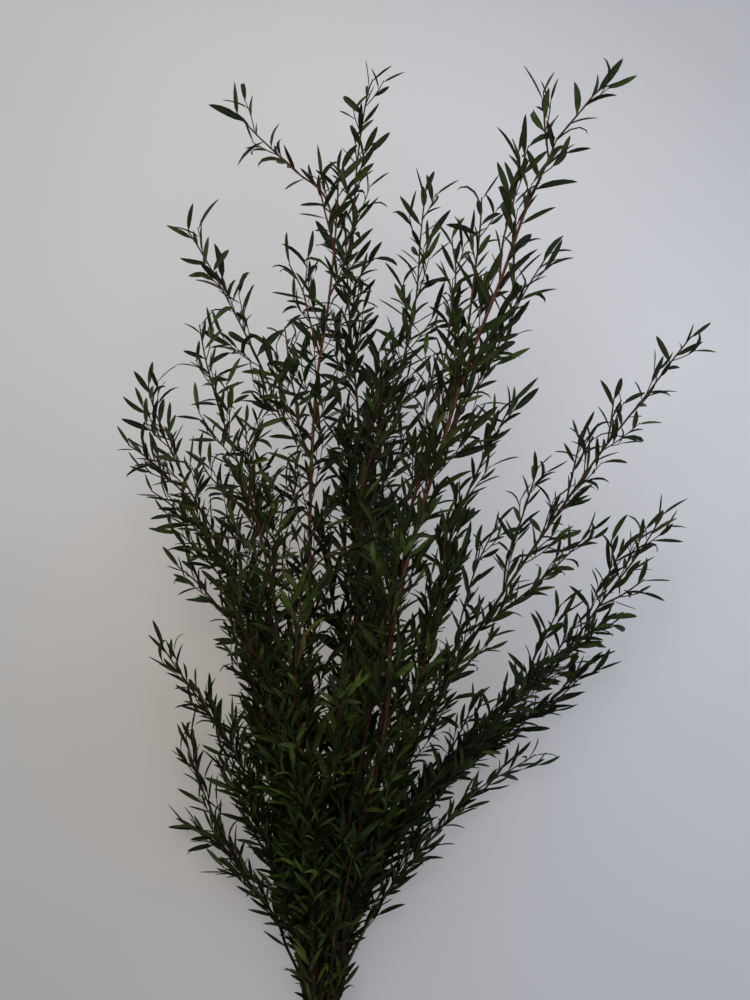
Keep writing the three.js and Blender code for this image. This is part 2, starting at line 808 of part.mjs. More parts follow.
// The stem and its branches.
function growWood(stem, index) {
  const curve = stemCurve(stem, index);
  const main = new Twig(curve, STEM_STEP, BUTT_RADIUS, TIP_RADIUS, END_LEAF);
  main.taper = stem.taper;
  main.bare = BARE_FOOT + stem.bare * (main.length - BARE_FOOT);
  main.leafy = STEM_LEAFY * (main.length - main.bare);
  main.shoot = stem.shoot;
  main.gap = stem.gap;
  main.spread = stem.spread;
  const branches = stem.branches.map((branch) => {
    const route = branchCurve(branch, main);
    const twig = new Twig(route, BRANCH_STEP, BRANCH_RADIUS, TIP_RADIUS, END_LEAF);
    twig.bare = BRANCH_BARE;
    twig.leafy = twig.length - BRANCH_BARE;
    twig.shoot = stem.shoot * BRANCH_SHOOT;
    twig.gap = stem.gap;
    twig.spread = stem.spread;
    return twig;
  });
  return [main, ...branches];
}

// All the stems grow together, so that each finds the room that the others leave: first the wood, then the
// shoots, then the leaves.
function growBunch() {
  const space = new Space();
  const grown = STEMS.map((stem, index) => {
    return { ...stem, index, axes: growWood(stem, index), leaves: [] };
  });
  for (const stem of grown) {
    stem.axes.forEach((axis) => space.add(woodBalls(axis, stem.index)));
  }
  for (const stem of grown) {
    stem.shoots = stem.axes.flatMap((axis, a) =>
      thinned(shootsOf(axis, [stem.index, a]), SHOOTS_KEPT, (shoot) =>
        space.takes(woodBalls(shoot, stem.index)),
      ),
    );
  }
  for (const stem of grown) {
    const hasRoom = (leaf) => space.takes(leafBalls(leaf, stem.index));
    for (const shoot of stem.shoots) {
      const leaves = leavesOf(shoot, shoot.length - SHOOT_BARE, stem.leaf, shoot.keys);
      stem.leaves.push(...thinned(leaves, SHOOT_LEAVES_KEPT, hasRoom));
    }
    stem.axes.forEach((axis, a) => {
      const leaves = leavesOf(axis, axis.leafy, stem.leaf, [stem.index, a]);
      stem.leaves.push(...thinned(leaves, STEM_LEAVES_KEPT, hasRoom));
    });
  }
  return grown;
}

// One leafy stem as one mesh.
function stemMesh(stem) {
  const [main, ...branches] = stem.axes;
  const solid = wasm.Manifold.union([
    woodBody(main, STEM_SIDES),
    ...[...branches, ...stem.shoots].map((twig) => woodBody(twig, TWIG_SIDES)),
    ...stem.leaves.map(leafBody),
  ]);
  const { vertProperties, triVerts } = solid.getMesh();
  const geometry = new THREE.BufferGeometry();
  geometry.setAttribute("position", new THREE.BufferAttribute(vertProperties, 3));
  geometry.setIndex(new THREE.BufferAttribute(triVerts, 1));
  geometry.computeVertexNormals();
  const material = new THREE.MeshStandardMaterial({
    color: stem.colour,
    roughness: 0.6,
    metalness: 0,
  });
  const mesh = new THREE.Mesh(geometry, material);
  mesh.name = stem.name;
  return mesh;
}

const bunch = new THREE.Group();
bunch.name = "leptospermum_bunch";
for (const stem of growBunch()) bunch.add(stemMesh(stem));

export default bunch;
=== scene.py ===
"""The looks of a bunch of preserved leptospermum stems, cut and laid down.

The stems grow here by the same rule as in the solid model, with every shoot and leaf in place. Lengths are
millimetres, and only the finished meshes, the camera and the lights are in metres.
"""

import math
from collections import namedtuple

import bpy
import numpy as np
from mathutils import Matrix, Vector


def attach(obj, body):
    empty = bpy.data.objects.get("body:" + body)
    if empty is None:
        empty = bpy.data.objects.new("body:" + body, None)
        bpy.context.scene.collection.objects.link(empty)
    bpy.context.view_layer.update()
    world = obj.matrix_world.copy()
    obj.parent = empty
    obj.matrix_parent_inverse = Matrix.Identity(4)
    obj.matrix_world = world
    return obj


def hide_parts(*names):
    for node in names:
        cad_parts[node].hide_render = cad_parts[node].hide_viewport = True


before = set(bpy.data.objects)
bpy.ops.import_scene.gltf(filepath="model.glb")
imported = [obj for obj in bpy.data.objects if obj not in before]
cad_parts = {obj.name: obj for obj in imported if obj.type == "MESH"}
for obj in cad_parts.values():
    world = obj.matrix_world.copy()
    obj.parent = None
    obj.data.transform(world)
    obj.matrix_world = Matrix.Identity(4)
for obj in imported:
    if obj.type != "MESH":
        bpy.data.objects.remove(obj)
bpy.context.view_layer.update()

MM = 0.001

# The whole bunch
CUT_LENGTH = 84  # of stem from the place where the bunch is gathered to the cut ends
CUT_UNEVEN = 9  # most that one stem is cut longer or shorter than that
BARE_FOOT = 48  # length above its cut end where no stem has shoots
GATHERED_PITCH = 6.3  # between the middles of two neighbours where the bunch is gathered
CUT_GAP = 0.3  # between two neighbours at their cut ends
ROW_RISE = math.sqrt(3) / 2  # from one row of the bundle to the next, as a share of the pitch
RISE_EASE = 45  # over this length the gathered stems turn from level to their own rise
ORIGIN = (75, 311)  # the middle of the bunch, from the gathered place

# Routes are drawn as seen from straight above, by an eye over MIDDLE. They are true to size at the height
# TRUE_HEIGHT.
EYE_HEIGHT = 2100
TRUE_HEIGHT = 100
MIDDLE = (42.4, 388)

# Wood
BUTT_RADIUS = 2.2
TIP_RADIUS = 0.5
BRANCH_RADIUS = 0.85
SHOOT_RADIUS = 0.52
SHOOT_TIP_RADIUS = 0.34
SPRIG_RADIUS = 0.4
SPRIG_TIP_RADIUS = 0.28
FORK = 0.85  # most that a twig is as thick as what it grows from
RING_STEP = 6  # between two rings of a stem's mesh
TWIG_RING_STEP = 10
LEAST_STEPS = 3  # between the first ring and the last of a twig
LEAST_STEP = 0.4  # between two rings, where extra ones are put in at its nodes
NODE_SWELL = 0.22  # how much thicker wood is where a shoot leaves it
NODE_LENGTH = 2.2  # how far from there it is thicker
TIP_ROUND = 0.9  # length over which a twig's tip closes
TIP_RINGS = ((0.6, 0.7), (1, 0.1))  # that close it: share of that length, share of the radius
CUT_FACE = ((-0.15, 0.04), (-0.15, 0.9), (0, 0.92))  # rings of a cut end: place, share of the radius
CURVE_STEPS = 24  # samples between two points of a route
DIRECTION_REACH = 0.5  # to each side of the place where a twig's direction is read
ROOT_STEP = 2  # most between two places of a stem that a branch may leave
BARK_TILE = 10  # length and breadth of bark in one unit of its UV
SHARP_ANGLE = math.radians(70)

# Shoots
GOLDEN_ANGLE = math.radians(137.5)
END_LEAF = 20  # length at the end of a drawn route that its last leaf makes up
SHOOT_FIRST = 26  # length from the tip to the first one
SHOOT_CLOSER = 0.62  # the gap between two near the foot, as a share of that near the tip
SHOOT_CLOSE_BELOW = 380  # length from the tip to where the gaps are that small
SHOOT_UNEVEN = 0.25  # most that one stands off its even place, as a share of the gap
SHOOT_LENGTHS = (0.72, 1.15)  # shares of the usual length at a place
SHOOT_TURN_UNEVEN = 0.5
SHOOT_LEAST = 22  # usual length at the tip, and just above the bare part
SHOOT_FULL_BELOW = 200  # length from the tip to where they are as long as they get
SHOOT_FULL_ABOVE = 30  # length from the bare part to where they are
SHOOT_ANGLES = (math.radians(24), math.radians(44))
SHOOT_SWEEP = 0.28  # share of its length that turns back towards what it grows from
SHOOT_REST = 4.5  # lowest height of its tip
STEEPEST = 0.99  # most that a direction rises or falls, as a share of its length
OPEN_LEAST = 0.42  # how far shoots and leaves stand off where the bunch is gathered, as a share
OPEN_FULL = 520  # they stand off fully from this far away from there
LEAF_FREE = 0.45  # how much less leaves are pressed than shoots, as a share
HIGHEST = 214  # that a shoot's or leaf's tip reaches
SHOOT_BARE = 7  # length without leaves at its foot
BRANCH_BARE = 12
BRANCH_SHOOT = 0.75  # its longest shoot, as a share of its stem's
INFILL_FULL_BELOW = 160  # length from the tip to where a stem is as lush as it gets
INFILL_LENGTH = 0.85  # of a shoot that fills in between two others, as a share of the upper one
INFILL_TURN = 1.4

# Sprigs are the finest side twigs. They stand on the longer shoots.
SPRIG_FROM = 30  # length of shoot from its tip to its first sprig
SPRIG_FROM_SHARES = (0.7, 1.1)
SPRIG_SPACING = 13
SPRIG_SPACINGS = (0.8, 1.2)  # shares of it
SPRIG_TURN_UNEVEN = 1
SPRIG_LENGTHS = (12, 22)
SPRIG_ANGLES = (math.radians(26), math.radians(44))
SPRIG_BARE = 3
SPRIG_LEAF = 0.82  # its usual leaf, as a share of its stem's

# Leaves
LEAF_FIRST = 1.5  # length from a twig's tip to the leaf that ends it
LEAF_USUAL = 24  # the leaf that the spacings are for
LEAF_SPACING = 6.4
LEAF_SPACING_MOST = 10
LEAF_THINNING = 0.3  # that each gap is longer than the one before
LEAVES_TO_FULL_SIZE = 4
LEAF_YOUNG = 0.95  # share of its full length of a leaf that has just come out
LEAF_LENGTHS = (0.76, 1.28)
LEAF_TURN_UNEVEN = 0.4
LEAF_ANGLES = (0.45, 1.4)  # shares of the usual angle
LEAF_ANGLE_YOUNG = math.radians(24)
LEAF_ANGLE_FULL = math.radians(50)
LEAF_FACE_UP = 0.7  # how much its upper face looks up, besides along its twig
LEAF_TWIST = 1  # radians that its face is turned about its own length, at most
LEAF_WIDTH = 0.168  # share of its length, of a leaf that stands off fully
LEAF_WIDTHS = (0.8, 1.22)
LEAF_BENDS = (-0.1, 0.7)  # radians that a leaf turns away from its upper face, from its foot to its tip
LEAF_SICKLE = 0.45  # radians that it turns sideways, at most
LEAF_TWINE = 0.7  # radians that its blade turns about its own length, at most
LEAF_CURL_CHANCE = 0.13  # of a dried tip that rolls back
LEAF_CURLS = (0.7, 2.3)
LEAF_NARROW_CHANCE = 0.07  # of a leaf that dried rolled up
LEAF_NARROW = 0.42  # its width, as a share
LEAF_FOLDS = (0.14, 0.42)  # how far its edges stand over its midrib, as a share of its half width
LEAF_RIB = 0.42  # thickness at the midrib
LEAF_ROOT = 0.25  # how deep in its twig it starts
# Share of the length, share of the half width
LEAF_RINGS = (
    (0.0, 0.12),
    (0.09, 0.24),
    (0.25, 0.78),
    (0.47, 1.0),
    (0.7, 0.9),
    (0.89, 0.52),
    (1.0, 0.07),
)
# Across the blade: share of the half width, share of the fold
LEAF_SECTION = ((-1, 1), (-0.5, 0.36), (0, 0), (0.5, 0.36), (1, 1))
FLOOR_EASE = 1.2  # height under which whatever would go through the surface is pressed flat onto it

# Numbers of the hash that stands for chance
HASH_START = 2166136261
HASH_PRIME = 16777619
HASH_MIX = 1540483477
HASH_SIZE = 4294967296

# A stem: its name, its column and row in the bundle, its heights at its middle and at its tip, its taper
# (less than 1 where it stays thick, more where it thins early), the share of it that is bare, its longest
# shoot, the gap between two shoots near its tip, how far shoots and leaves stand off (less than 1 for a narrow
# brush), the share of it from the tip that has leaves of its own, its usual leaf, how fresh its green is and
# how lit its leaves are, as painted light, how ruddy its bark is and how lit, as painted light, how many
# shoots fill in between the even ones, its route (across, along) from where it is gathered to the tip, and its
# branches, each the height of its tip and its own route.
Stem = namedtuple(
    "Stem", "name slot heights taper bare shoot gap spread leafy leaf fresh ruddy lush route branches"
)
STEMS = [
    Stem(
        "stem_low_left", (-2.5, 0), (8, 9), 1.6, 0.34, 36, 15, 1, 1, 22, 0.35, 0.2, 1,
        route=[(-29, 32), (-37, 54), (-48, 67), (-62, 86), (-75, 105), (-100, 123), (-126, 135)],
        branches=[],
    ),
    Stem(
        "stem_lower_left", (-2, 1), (46, 62), 1.4, 0.05, 52, 13, 1, 1, 23, 0.4, 0.25, 1,
        route=[(-15, 26), (-31, 84), (-50, 138), (-68, 182), (-95, 224), (-122, 262), (-137, 288)],
        branches=[
            (26, [(-27, 72), (-58, 86), (-80, 122), (-100, 168), (-114, 217)]),
            (50, [(-38, 100), (-60, 140), (-78, 170), (-92, 196)]),
        ],
    ),
    Stem(
        "stem_far_left", (-1, 1), (74, 88), 1.2, 0.03, 62, 18, 1, 1, 22, 0.5, 0.45, 0.8,
        route=[
            (-12, 40), (-28, 148), (-48, 236), (-72, 332), (-108, 400), (-128, 444), (-138, 474),
            (-140, 500),
        ],
        branches=[
            (84, [(-29, 152), (-38, 180), (-51, 204), (-74, 232)]),
            (52, [(-58, 276), (-72, 290), (-100, 322), (-130, 346)]),
            (66, [(-80, 354), (-98, 366), (-126, 388), (-152, 406)]),
            (104, [(-95, 381), (-115, 398), (-143, 424), (-172, 442)]),
            (80, [(-62, 300), (-84, 330), (-110, 358), (-138, 376)]),
        ],
    ),
    Stem(
        "stem_upper_left", (-1.5, 2), (112, 146), 1.2, 0, 66, 22, 1.1, 1, 22, 0.55, 0.4, 0.3,
        route=[(-10, 36), (-23, 180), (-38, 300), (-54, 380), (-78, 448), (-93, 500), (-101, 548)],
        branches=[
            (150, [(-27, 214), (-44, 246), (-66, 290), (-80, 322)]),
            (100, [(-49, 360), (-70, 388), (-92, 410), (-103, 440)]),
            (128, [(-40, 310), (-36, 350), (-31, 384), (-28, 416)]),
            (120, [(-46, 345), (-54, 390), (-60, 430), (-62, 470)]),
        ],
    ),
    Stem(
        "stem_back_left", (-0.5, 0), (17, 27), 1.3, 0, 66, 17, 1, 1, 23, 0.15, 0.1, 0.7,
        route=[(-8, 40), (-22, 120), (-36, 220), (-50, 300), (-54, 360), (-60, 432)],
        branches=[
            (16, [(-26, 150), (-42, 176), (-54, 202), (-68, 222)]),
            (40, [(-38, 232), (-52, 258), (-68, 284), (-86, 318)]),
        ],
    ),
    Stem(
        "stem_front", (-1, 3), (98, 156), 1, 0, 58, 16, 0.9, 1, 26, 0.9, 0.9, 1,
        route=[(-6, 60), (-14, 148), (-20, 228), (-20, 276), (-13, 338)],
        branches=[(176, [(-12, 130), (4, 160), (14, 204), (17, 262)])],
    ),
    Stem(
        "stem_tall_left", (-0.5, 2), (112, 150), 0.7, 0, 62, 25, 1.1, 0.4, 25, 0.45, 0.85, 0.12,
        route=[(-5, 60), (-10, 180), (-10, 300), (-9, 400), (-4, 484), (5, 544), (11, 604), (14, 664)],
        branches=[
            (148, [(-11, 330), (4, 344), (24, 352), (46, 360)]),
            (152, [(-9, 420), (-28, 450), (-54, 506), (-94, 582), (-119, 621)]),
            (168, [(-3, 504), (-11, 536), (-15, 554), (-26, 576), (-36, 594)]),
            (160, [(11, 606), (0, 634), (-20, 650), (-48, 676), (-74, 700), (-88, 703)]),
            (130, [(-10, 270), (-20, 310), (-30, 345), (-34, 384)]),
            (132, [(-11, 420), (-18, 444), (-21, 468), (-26, 492), (-29, 520), (-33, 546)]),
            (150, [(9, 590), (2, 620), (-2, 640), (-4, 664)]),
        ],
    ),
    Stem(
        "stem_middle", (0, 1), (66, 98), 1, 0, 66, 20, 0.9, 1, 24, 0.3, 0.35, 0.3,
        route=[(6, 50), (18, 148), (29, 308), (32, 388), (28, 468), (23, 520), (20, 572), (17, 632)],
        branches=[
            (112, [(21, 548), (31, 568), (42, 581), (62, 583)]),
            (116, [(20, 574), (25, 612), (28, 656), (34, 700), (38, 718), (50, 742)]),
            (84, [(24, 240), (14, 280), (6, 320), (2, 360), (-2, 400)]),
            (104, [(32, 430), (48, 462), (62, 486), (72, 512)]),
        ],
    ),
    Stem(
        "stem_back", (0.5, 0), (20, 30), 1.3, 0, 70, 18, 0.9, 1, 24, 0.08, 0.1, 0.7,
        route=[(8, 50), (16, 120), (32, 240), (44, 340), (50, 428), (47, 480), (44, 526)],
        branches=[(16, [(27, 200), (44, 232), (66, 262), (80, 300)])],
    ),
    Stem(
        "stem_upper_middle", (0.5, 2), (98, 124), 1.2, 0, 62, 22, 1, 1, 24, 0.45, 0.3, 0.1,
        route=[
            (10, 60), (22, 148), (26, 268), (34, 404), (47, 444), (62, 488), (75, 548), (79, 600),
            (82, 628), (85, 656),
        ],
        branches=[(120, [(30, 350), (20, 384), (14, 410), (12, 432)])],
    ),
    Stem(
        "stem_upper_right", (0, 3), (140, 168), 0.8, 0, 58, 28, 0.9, 0.6, 25, 0.55, 0.45, 0.15,
        route=[
            (7, 44), (22, 132), (40, 228), (54, 308), (66, 364), (90, 440), (114, 512), (121, 560),
            (127, 612), (128, 650),
        ],
        branches=[(138, [(90, 440), (95, 480), (103, 534), (107, 572), (104, 596), (105, 618)])],
    ),
    Stem(
        "stem_tall_right", (1, 3), (166, 196), 0.5, 0, 48, 36, 0.75, 0.35, 28, 0.5, 0.45, 0.4,
        route=[
            (20, 84), (49, 196), (57, 288), (76, 368), (95, 428), (112, 484), (146, 572),
            (163, 620), (186, 672), (194, 696),
        ],
        branches=[
            (150, [(95, 430), (110, 456), (134, 498), (162, 554), (178, 580), (193, 602)]),
            (204, [(142, 562), (145, 596), (152, 622), (157, 652), (156, 688)]),
            (184, [(181, 660), (178, 690), (177, 735)]),
            (190, [(192, 686), (206, 698), (222, 716), (246, 728)]),
            (160, [(116, 494), (136, 520), (150, 550), (162, 584)]),
            (140, [(92, 420), (104, 440), (120, 458), (134, 478)]),
        ],
    ),
    Stem(
        "stem_inner_right", (2, 3), (128, 172), 0.9, 0.01, 50, 21, 0.65, 1, 24, 0.5, 0.3, 0.6,
        route=[
            (18, 36), (38, 108), (58, 172), (74, 228), (93, 304), (102, 356), (125, 412),
            (142, 446), (162, 486),
        ],
        branches=[(140, [(66, 200), (84, 226), (100, 250), (108, 282)])],
    ),
    Stem(
        "stem_far_right", (1.5, 2), (88, 112), 1, 0.02, 46, 29, 0.9, 0.8, 22, 0.4, 0.3, 0.3,
        route=[
            (15, 44), (34, 100), (54, 148), (90, 220), (120, 276), (145, 314), (196, 388),
            (226, 430), (261, 474), (282, 502), (308, 534),
        ],
        branches=[
            (60, [(90, 220), (102, 252), (114, 304), (125, 338), (150, 388)]),
            (64, [(124, 282), (146, 300), (182, 330), (229, 378)]),
            (104, [(145, 314), (148, 340), (158, 368), (179, 434)]),
            (124, [(196, 388), (202, 416), (212, 462)]),
            (92, [(228, 434), (231, 450), (236, 488)]),
        ],
    ),
    Stem(
        "stem_right", (1, 1), (56, 60), 1, 0.03, 44, 21, 0.9, 1, 22, 0.25, 0.15, 0.9,
        route=[
            (17, 40), (38, 84), (62, 124), (86, 156), (138, 212), (197, 270), (225, 308),
            (258, 352), (282, 394),
        ],
        branches=[
            (38, [(200, 274), (214, 282), (228, 292), (246, 302)]),
            (44, [(222, 303), (240, 312), (256, 323), (273, 334)]),
            (86, [(225, 308), (229, 326), (232, 344), (229, 374)]),
            (70, [(160, 232), (170, 262), (184, 290), (200, 322)]),
            (60, [(86, 156), (102, 186), (116, 214), (128, 246)]),
        ],
    ),
    Stem(
        "stem_lower_right", (1.5, 0), (17, 19), 1, 0.1, 42, 12, 0.75, 1, 23, 0.02, 0.1, 1,
        route=[
            (20, 40), (42, 92), (62, 128), (82, 152), (126, 192), (170, 218), (202, 244),
            (229, 274),
        ],
        branches=[(32, [(134, 199), (150, 222), (165, 244), (178, 266)])],
    ),
    Stem(
        "stem_low_right", (2, 1), (19, 15), 1.6, 0.3, 34, 16, 0.9, 1, 22, 0.3, 0.5, 0.8,
        route=[(19, 14), (38, 52), (58, 82), (82, 110), (104, 136), (127, 158), (154, 174), (187, 194)],
        branches=[(42, [(54, 76), (66, 104), (88, 144), (110, 172), (142, 196)])],
    ),
]

# Sides of the wood
STEM_SIDES = 10
BRANCH_SIDES = 7
SHOOT_SIDES = 5

# Colours, as linear light
LEAF_DEEP = (0.0065, 0.0105, 0.0018)
LEAF_COOL = (0.0065, 0.012, 0.004)
# The light colours are fresh and olive greens, and also stand for painted light on the lit stems
LEAF_FRESH = (0.072, 0.124, 0.020)
LEAF_OLIVE = (0.078, 0.088, 0.014)
DEEP_CHANCE = 0.7  # of a leaf whose dark colour is LEAF_DEEP. The others' is LEAF_COOL.
OLIVE_CHANCE = 0.4  # of a leaf whose light colour is LEAF_OLIVE. The others' is LEAF_FRESH.
LEAST_FRESH_AND_LIT = 0.1  # most light colour in a leaf of a stem whose fresh green and painted light is 0, as at the back
MORE_FRESH_AND_LIT = 1.4  # what is added to that where it is 1, as on the lit stems in front
YOUNG_FRESH = 0.1  # what is added for a leaf that has just come out
LEAF_LIGHTS = (0.75, 1.3)
DRY_TIP_CHANCE = 0.22
DRY_TIPS = (0.3, 1)
LEAF_VEIN = (0.050, 0.078, 0.020, 1)
LEAF_MARGIN = (0.030, 0.038, 0.010, 1)
LEAF_UNDER = (0.028, 0.042, 0.017, 1)
LEAF_FOOT = (0.060, 0.038, 0.015, 1)
LEAF_DRY = (0.050, 0.026, 0.012, 1)
BARK_DEEP = (0.022, 0.009, 0.006, 1)
BARK_RED = (0.070, 0.024, 0.015, 1)
BARK_LIT = (0.420, 0.145, 0.066, 1)  # of the ruddiest stems, and also painted light on the stems that are lit
BARK_YOUNG = (0.060, 0.026, 0.014, 1)
BARK_FLAKE = (0.300, 0.190, 0.120, 1)
BARK_PALE = (0.200, 0.125, 0.075, 1)
PALE_CHANCE = 0.16  # of a dry shoot
PALE_STEMS = ("stem_low_right",)
PALE_SHARE = 0.7  # of BARK_PALE in the colour of dry wood
FOOT_PAINTED_SHADE = (-0.3, 0.2, 0.2, 1.0)  # painted shade on the bark, darker towards the gathered foot: metres along the bunch, share of its light there
WOOD_CUT = (0.420, 0.280, 0.160, 1)
WOOD_RING = (0.210, 0.125, 0.065, 1)
WOOD_PITH = (0.090, 0.045, 0.025, 1)
CUT_RINGS = 3.4  # in the half thickness of the thickest stem

# Surfaces. A noise is its scale and detail. A range is where a pattern begins and where it ends, and how
# strong it is there and there, which is 0 and 1 if it isn't given. A bump is its depth in metres and strength.
NOISE_MIDDLE = 0.5
LEAF_MOTTLE = (160.0, 3.0)
MOTTLE_LIGHT = (0.3, 0.7, 0.7, 1.35)
RIB_RANGE = (0.02, 0.09, 1.0, 0.0)  # off the middle of the leaf, as a share of its width
RIB_SHARE = 0.5
MARGIN_RANGE = (0.4, 0.5)
MARGIN_SHARE = 0.25
VEINS = 9  # on each side of a leaf
VEIN_LEAN = 1.6  # how far they run along the leaf, for each step across
VEIN_ASPECT = 5.0  # the leaf's length in widths, as they take it
VEIN_RANGE = (0.2, 1.0)
VEIN_SHARE = 0.18
UNDER_SHARE = 0.5
LEAF_FOOT_RANGE = (0.02, 0.12, 0.7, 0.0)
LEAF_TIP_RANGE = (0.72, 1.0)
LEAF_ROUGHNESS = (0.3, 0.7, 0.38, 0.54)
UNDER_ROUGHER = 0.2
VEIN_RELIEF = 0.3
RIB_RELIEF = -1.0
LEAF_BUMP = (0.00012, 0.7)
LEAF_SPECULAR = 0.16
STREAK_STRETCH = (9.0, 1.1, 1.0)  # round the wood, along it
STREAKS = (1.6, 4.0)
STREAK_RANGE = (0.35, 0.65)
FLAKE_STRETCH = (3.0, 0.7, 1.0)
FLAKES = (1.3, 3.0)
FLAKE_RANGE = (0.52, 0.6)
FLAKE_GIRTH = (0.35, 0.8)  # where 1 is the thickest stem's
FLAKE_SHARE = 0.55
YOUNG_GIRTH = (0.18, 0.5, 0.55, 0.0)
RING_RANGE = (-0.2, 1.0, 0.0, 0.6)
PITH_GIRTH = (0.08, 0.17, 0.9, 0.0)
BARK_ROUGHNESS = (0.3, 0.7, 0.5, 0.72)
BARK_BUMP = (0.00025, 0.8)
BARK_SPECULAR = 0.25

# The surface below the bunch, in metres. The bunch's own middle is its origin.
# Painted light: the floor is dimmer and warmer to the left, lighter and cooler to the right
FLOOR_LEFT_LIGHT = (0.478, 0.468, 0.462, 1)
FLOOR_RIGHT_LIGHT = (0.540, 0.556, 0.606, 1)
FLOOR_SIDES = (-0.5, 0.4)  # painted light: across, from the dimmer warm colour on the left to the lighter cool one on the right
FLOOR_CLOUDS = (0.8, 2.0)
FLOOR_TOOTH = (900.0, 2.0)
FLOOR_BUMP = (0.0001, 0.2)
FLOOR_ROUGHNESS = 0.9
GLOW = 0.52  # painted glow: light that the surface gives off itself, which softens the shadows on it
# Painted shade: a warm, darker patch on the floor beside the bunch
WARM_PAINTED_SHADE = (1.0, 0.93, 0.84, 1)
WARM_SHADE_PLACE = (-0.13, -0.1, 0)
WARM_SHADE_RANGE = (0.04, 0.28, 1.0, 0.0)  # painted warm shade beside the bunch, by the distance from there
# Painted light and shade on the floor
NEAR_SLOPE = 0.15  # how much sooner it gets lighter along the bunch, for each metre to the right
NEAR_LIGHT = (-0.5, 0.25, 0.82, 1.09)  # dimmer towards the cut ends
FAR_SLOPE = 0.6  # how much sooner it gets dimmer along the bunch, for each metre to the right
FAR_LIGHT = (0.3, 0.75, 1.0, 0.76)  # dimmer beyond the tips
POOL_PLACE = (-0.03, 0.2, 0)  # the middle of a pool of light
POOL_LIGHT = (0.2, 0.45, 1.0, 0.88)  # by the distance from there

# Surroundings, in metres and watts
FLOOR_SIZE = 8.0
SENSOR = 36.0
LENS = 90.0
CLIP = (0.05, 20)
LIGHT_AIM = (0, 0, 0.1)
WORLD_COLOUR = (0.95, 0.97, 1.0)
WORLD_STRENGTH = 0.15
# Name, place, side of the square, watts, colour
LIGHTS = (
    ("light_key", (-0.5, 1.7, 2.2), 2.2, 29.0, (1.0, 0.985, 0.95)),
    ("light_right", (2.6, -0.1, 2.0), 2.2, 20.0, (0.86, 0.92, 1.0)),
    ("light_left", (-2.7, 0.1, 2.3), 2.2, 7.0, (1.0, 0.88, 0.74)),
)


def draw(*keys):
    """A number from 0 to 1 that looks random and depends only on the keys. The last key is what it is for."""
    value = HASH_START
    for key in keys:
        value = (value ^ (key + 1)) * HASH_PRIME % HASH_SIZE
        value ^= value >> 13
        value = value * HASH_MIX % HASH_SIZE
        value ^= value >> 15
    return value / HASH_SIZE


def between(low, high, *keys):
    """A number from low to high, by draw."""
    return low + (high - low) * draw(*keys)


def mix(low, high, share):
    return low + (high - low) * share


def place(across, along, height):
    """The place in the model of a point drawn as seen from above."""
    scale = (EYE_HEIGHT - height) / (EYE_HEIGHT - TRUE_HEIGHT)
    return Vector(
        (
            MIDDLE[0] + (across - MIDDLE[0]) * scale - ORIGIN[0],
            MIDDLE[1] + (along - MIDDLE[1]) * scale - ORIGIN[1],
            height,
        )
    )


def drawn_point(point):
    """The drawn point, across and along, of a place in the model."""
    scale = (EYE_HEIGHT - point.z) / (EYE_HEIGHT - TRUE_HEIGHT)
    return Vector(
        (
            MIDDLE[0] + (point.x + ORIGIN[0] - MIDDLE[0]) / scale,
            MIDDLE[1] + (point.y + ORIGIN[1] - MIDDLE[1]) / scale,
        )
    )


def shares(route):
    """How far along its drawn route each point lies, from 0 to 1."""
    steps = [math.dist(route[i], route[i + 1]) for i in range(len(route) - 1)]
    lengths = np.concatenate([[0], np.cumsum(steps)])
    return lengths / lengths[-1]


def centripetal(points):
    """Samples of the centripetal Catmull-Rom curve through points."""
    points = [np.array(point, float) for point in points]
    first = 2 * points[0] - points[1]
    last = 2 * points[-1] - points[-2]
    padded = [first, *points, last]
    t = np.linspace(0, 1, CURVE_STEPS, endpoint=False)[:, None]
    samples = []
    for before, start, end, after in zip(padded, padded[1:], padded[2:], padded[3:]):
        into = math.sqrt(np.linalg.norm(start - before))
        span = math.sqrt(np.linalg.norm(end - start))
        out = math.sqrt(np.linalg.norm(after - end))
        slope_in = (start - before) / into - (end - before) / (into + span) + (end - start) / span
        slope_out = (end - start) / span - (after - start) / (span + out) + (after - end) / out
        slope_in = slope_in * span
        slope_out = slope_out * span
        square = -3 * start + 3 * end - 2 * slope_in - slope_out
        cube = 2 * start - 2 * end + slope_in + slope_out
        samples.append(start + slope_in * t + square * t**2 + cube * t**3)
    return np.vstack([*samples, points[-1]])


def quadratic(start, bend, end):
    """Samples of the quadratic Bezier curve of three points."""
    start, bend, end = (np.array(point, float) for point in (start, bend, end))
    t = np.linspace(0, 1, CURVE_STEPS + 1)[:, None]
    return start * (1 - t) ** 2 + bend * 2 * t * (1 - t) + end * t**2


class Twig:
    """A round piece of wood of any size along a curve, whose last bit may be left to its end leaf."""

    def __init__(self, samples, start_radius, end_radius, end_leaf=0):
        self.samples = samples
        steps = np.linalg.norm(np.diff(samples, axis=0), axis=1)
        self.lengths = np.concatenate([[0], np.cumsum(steps)])
        self.length = self.lengths[-1] - end_leaf
        self.start_radius = start_radius
        self.end_radius = end_radius
        self.taper = 1
        self.spread = 1
        self.pale = 0
        self.nodes = []  # the places along it where something grows from it

    def many(self, places):
        """The points at several lengths along it."""
        return np.stack([np.interp(places, self.lengths, self.samples[:, k]) for k in range(3)], axis=-1)

    def at(self, s):
        return Vector(self.many(self.length * s))

    def tangent(self, s):
        near = self.many(self.length * s - DIRECTION_REACH)
        far = self.many(self.length * s + DIRECTION_REACH)
        return Vector(far - near).normalized()

    def radius(self, s):
        return mix(self.end_radius, self.start_radius, (1 - s) ** self.taper)


def slot_place(slot, pitch):
    """Where a stem runs in the bundle, across and up, for a pitch between neighbours."""
    return slot[0] * pitch, BUTT_RADIUS + slot[1] * pitch * ROW_RISE


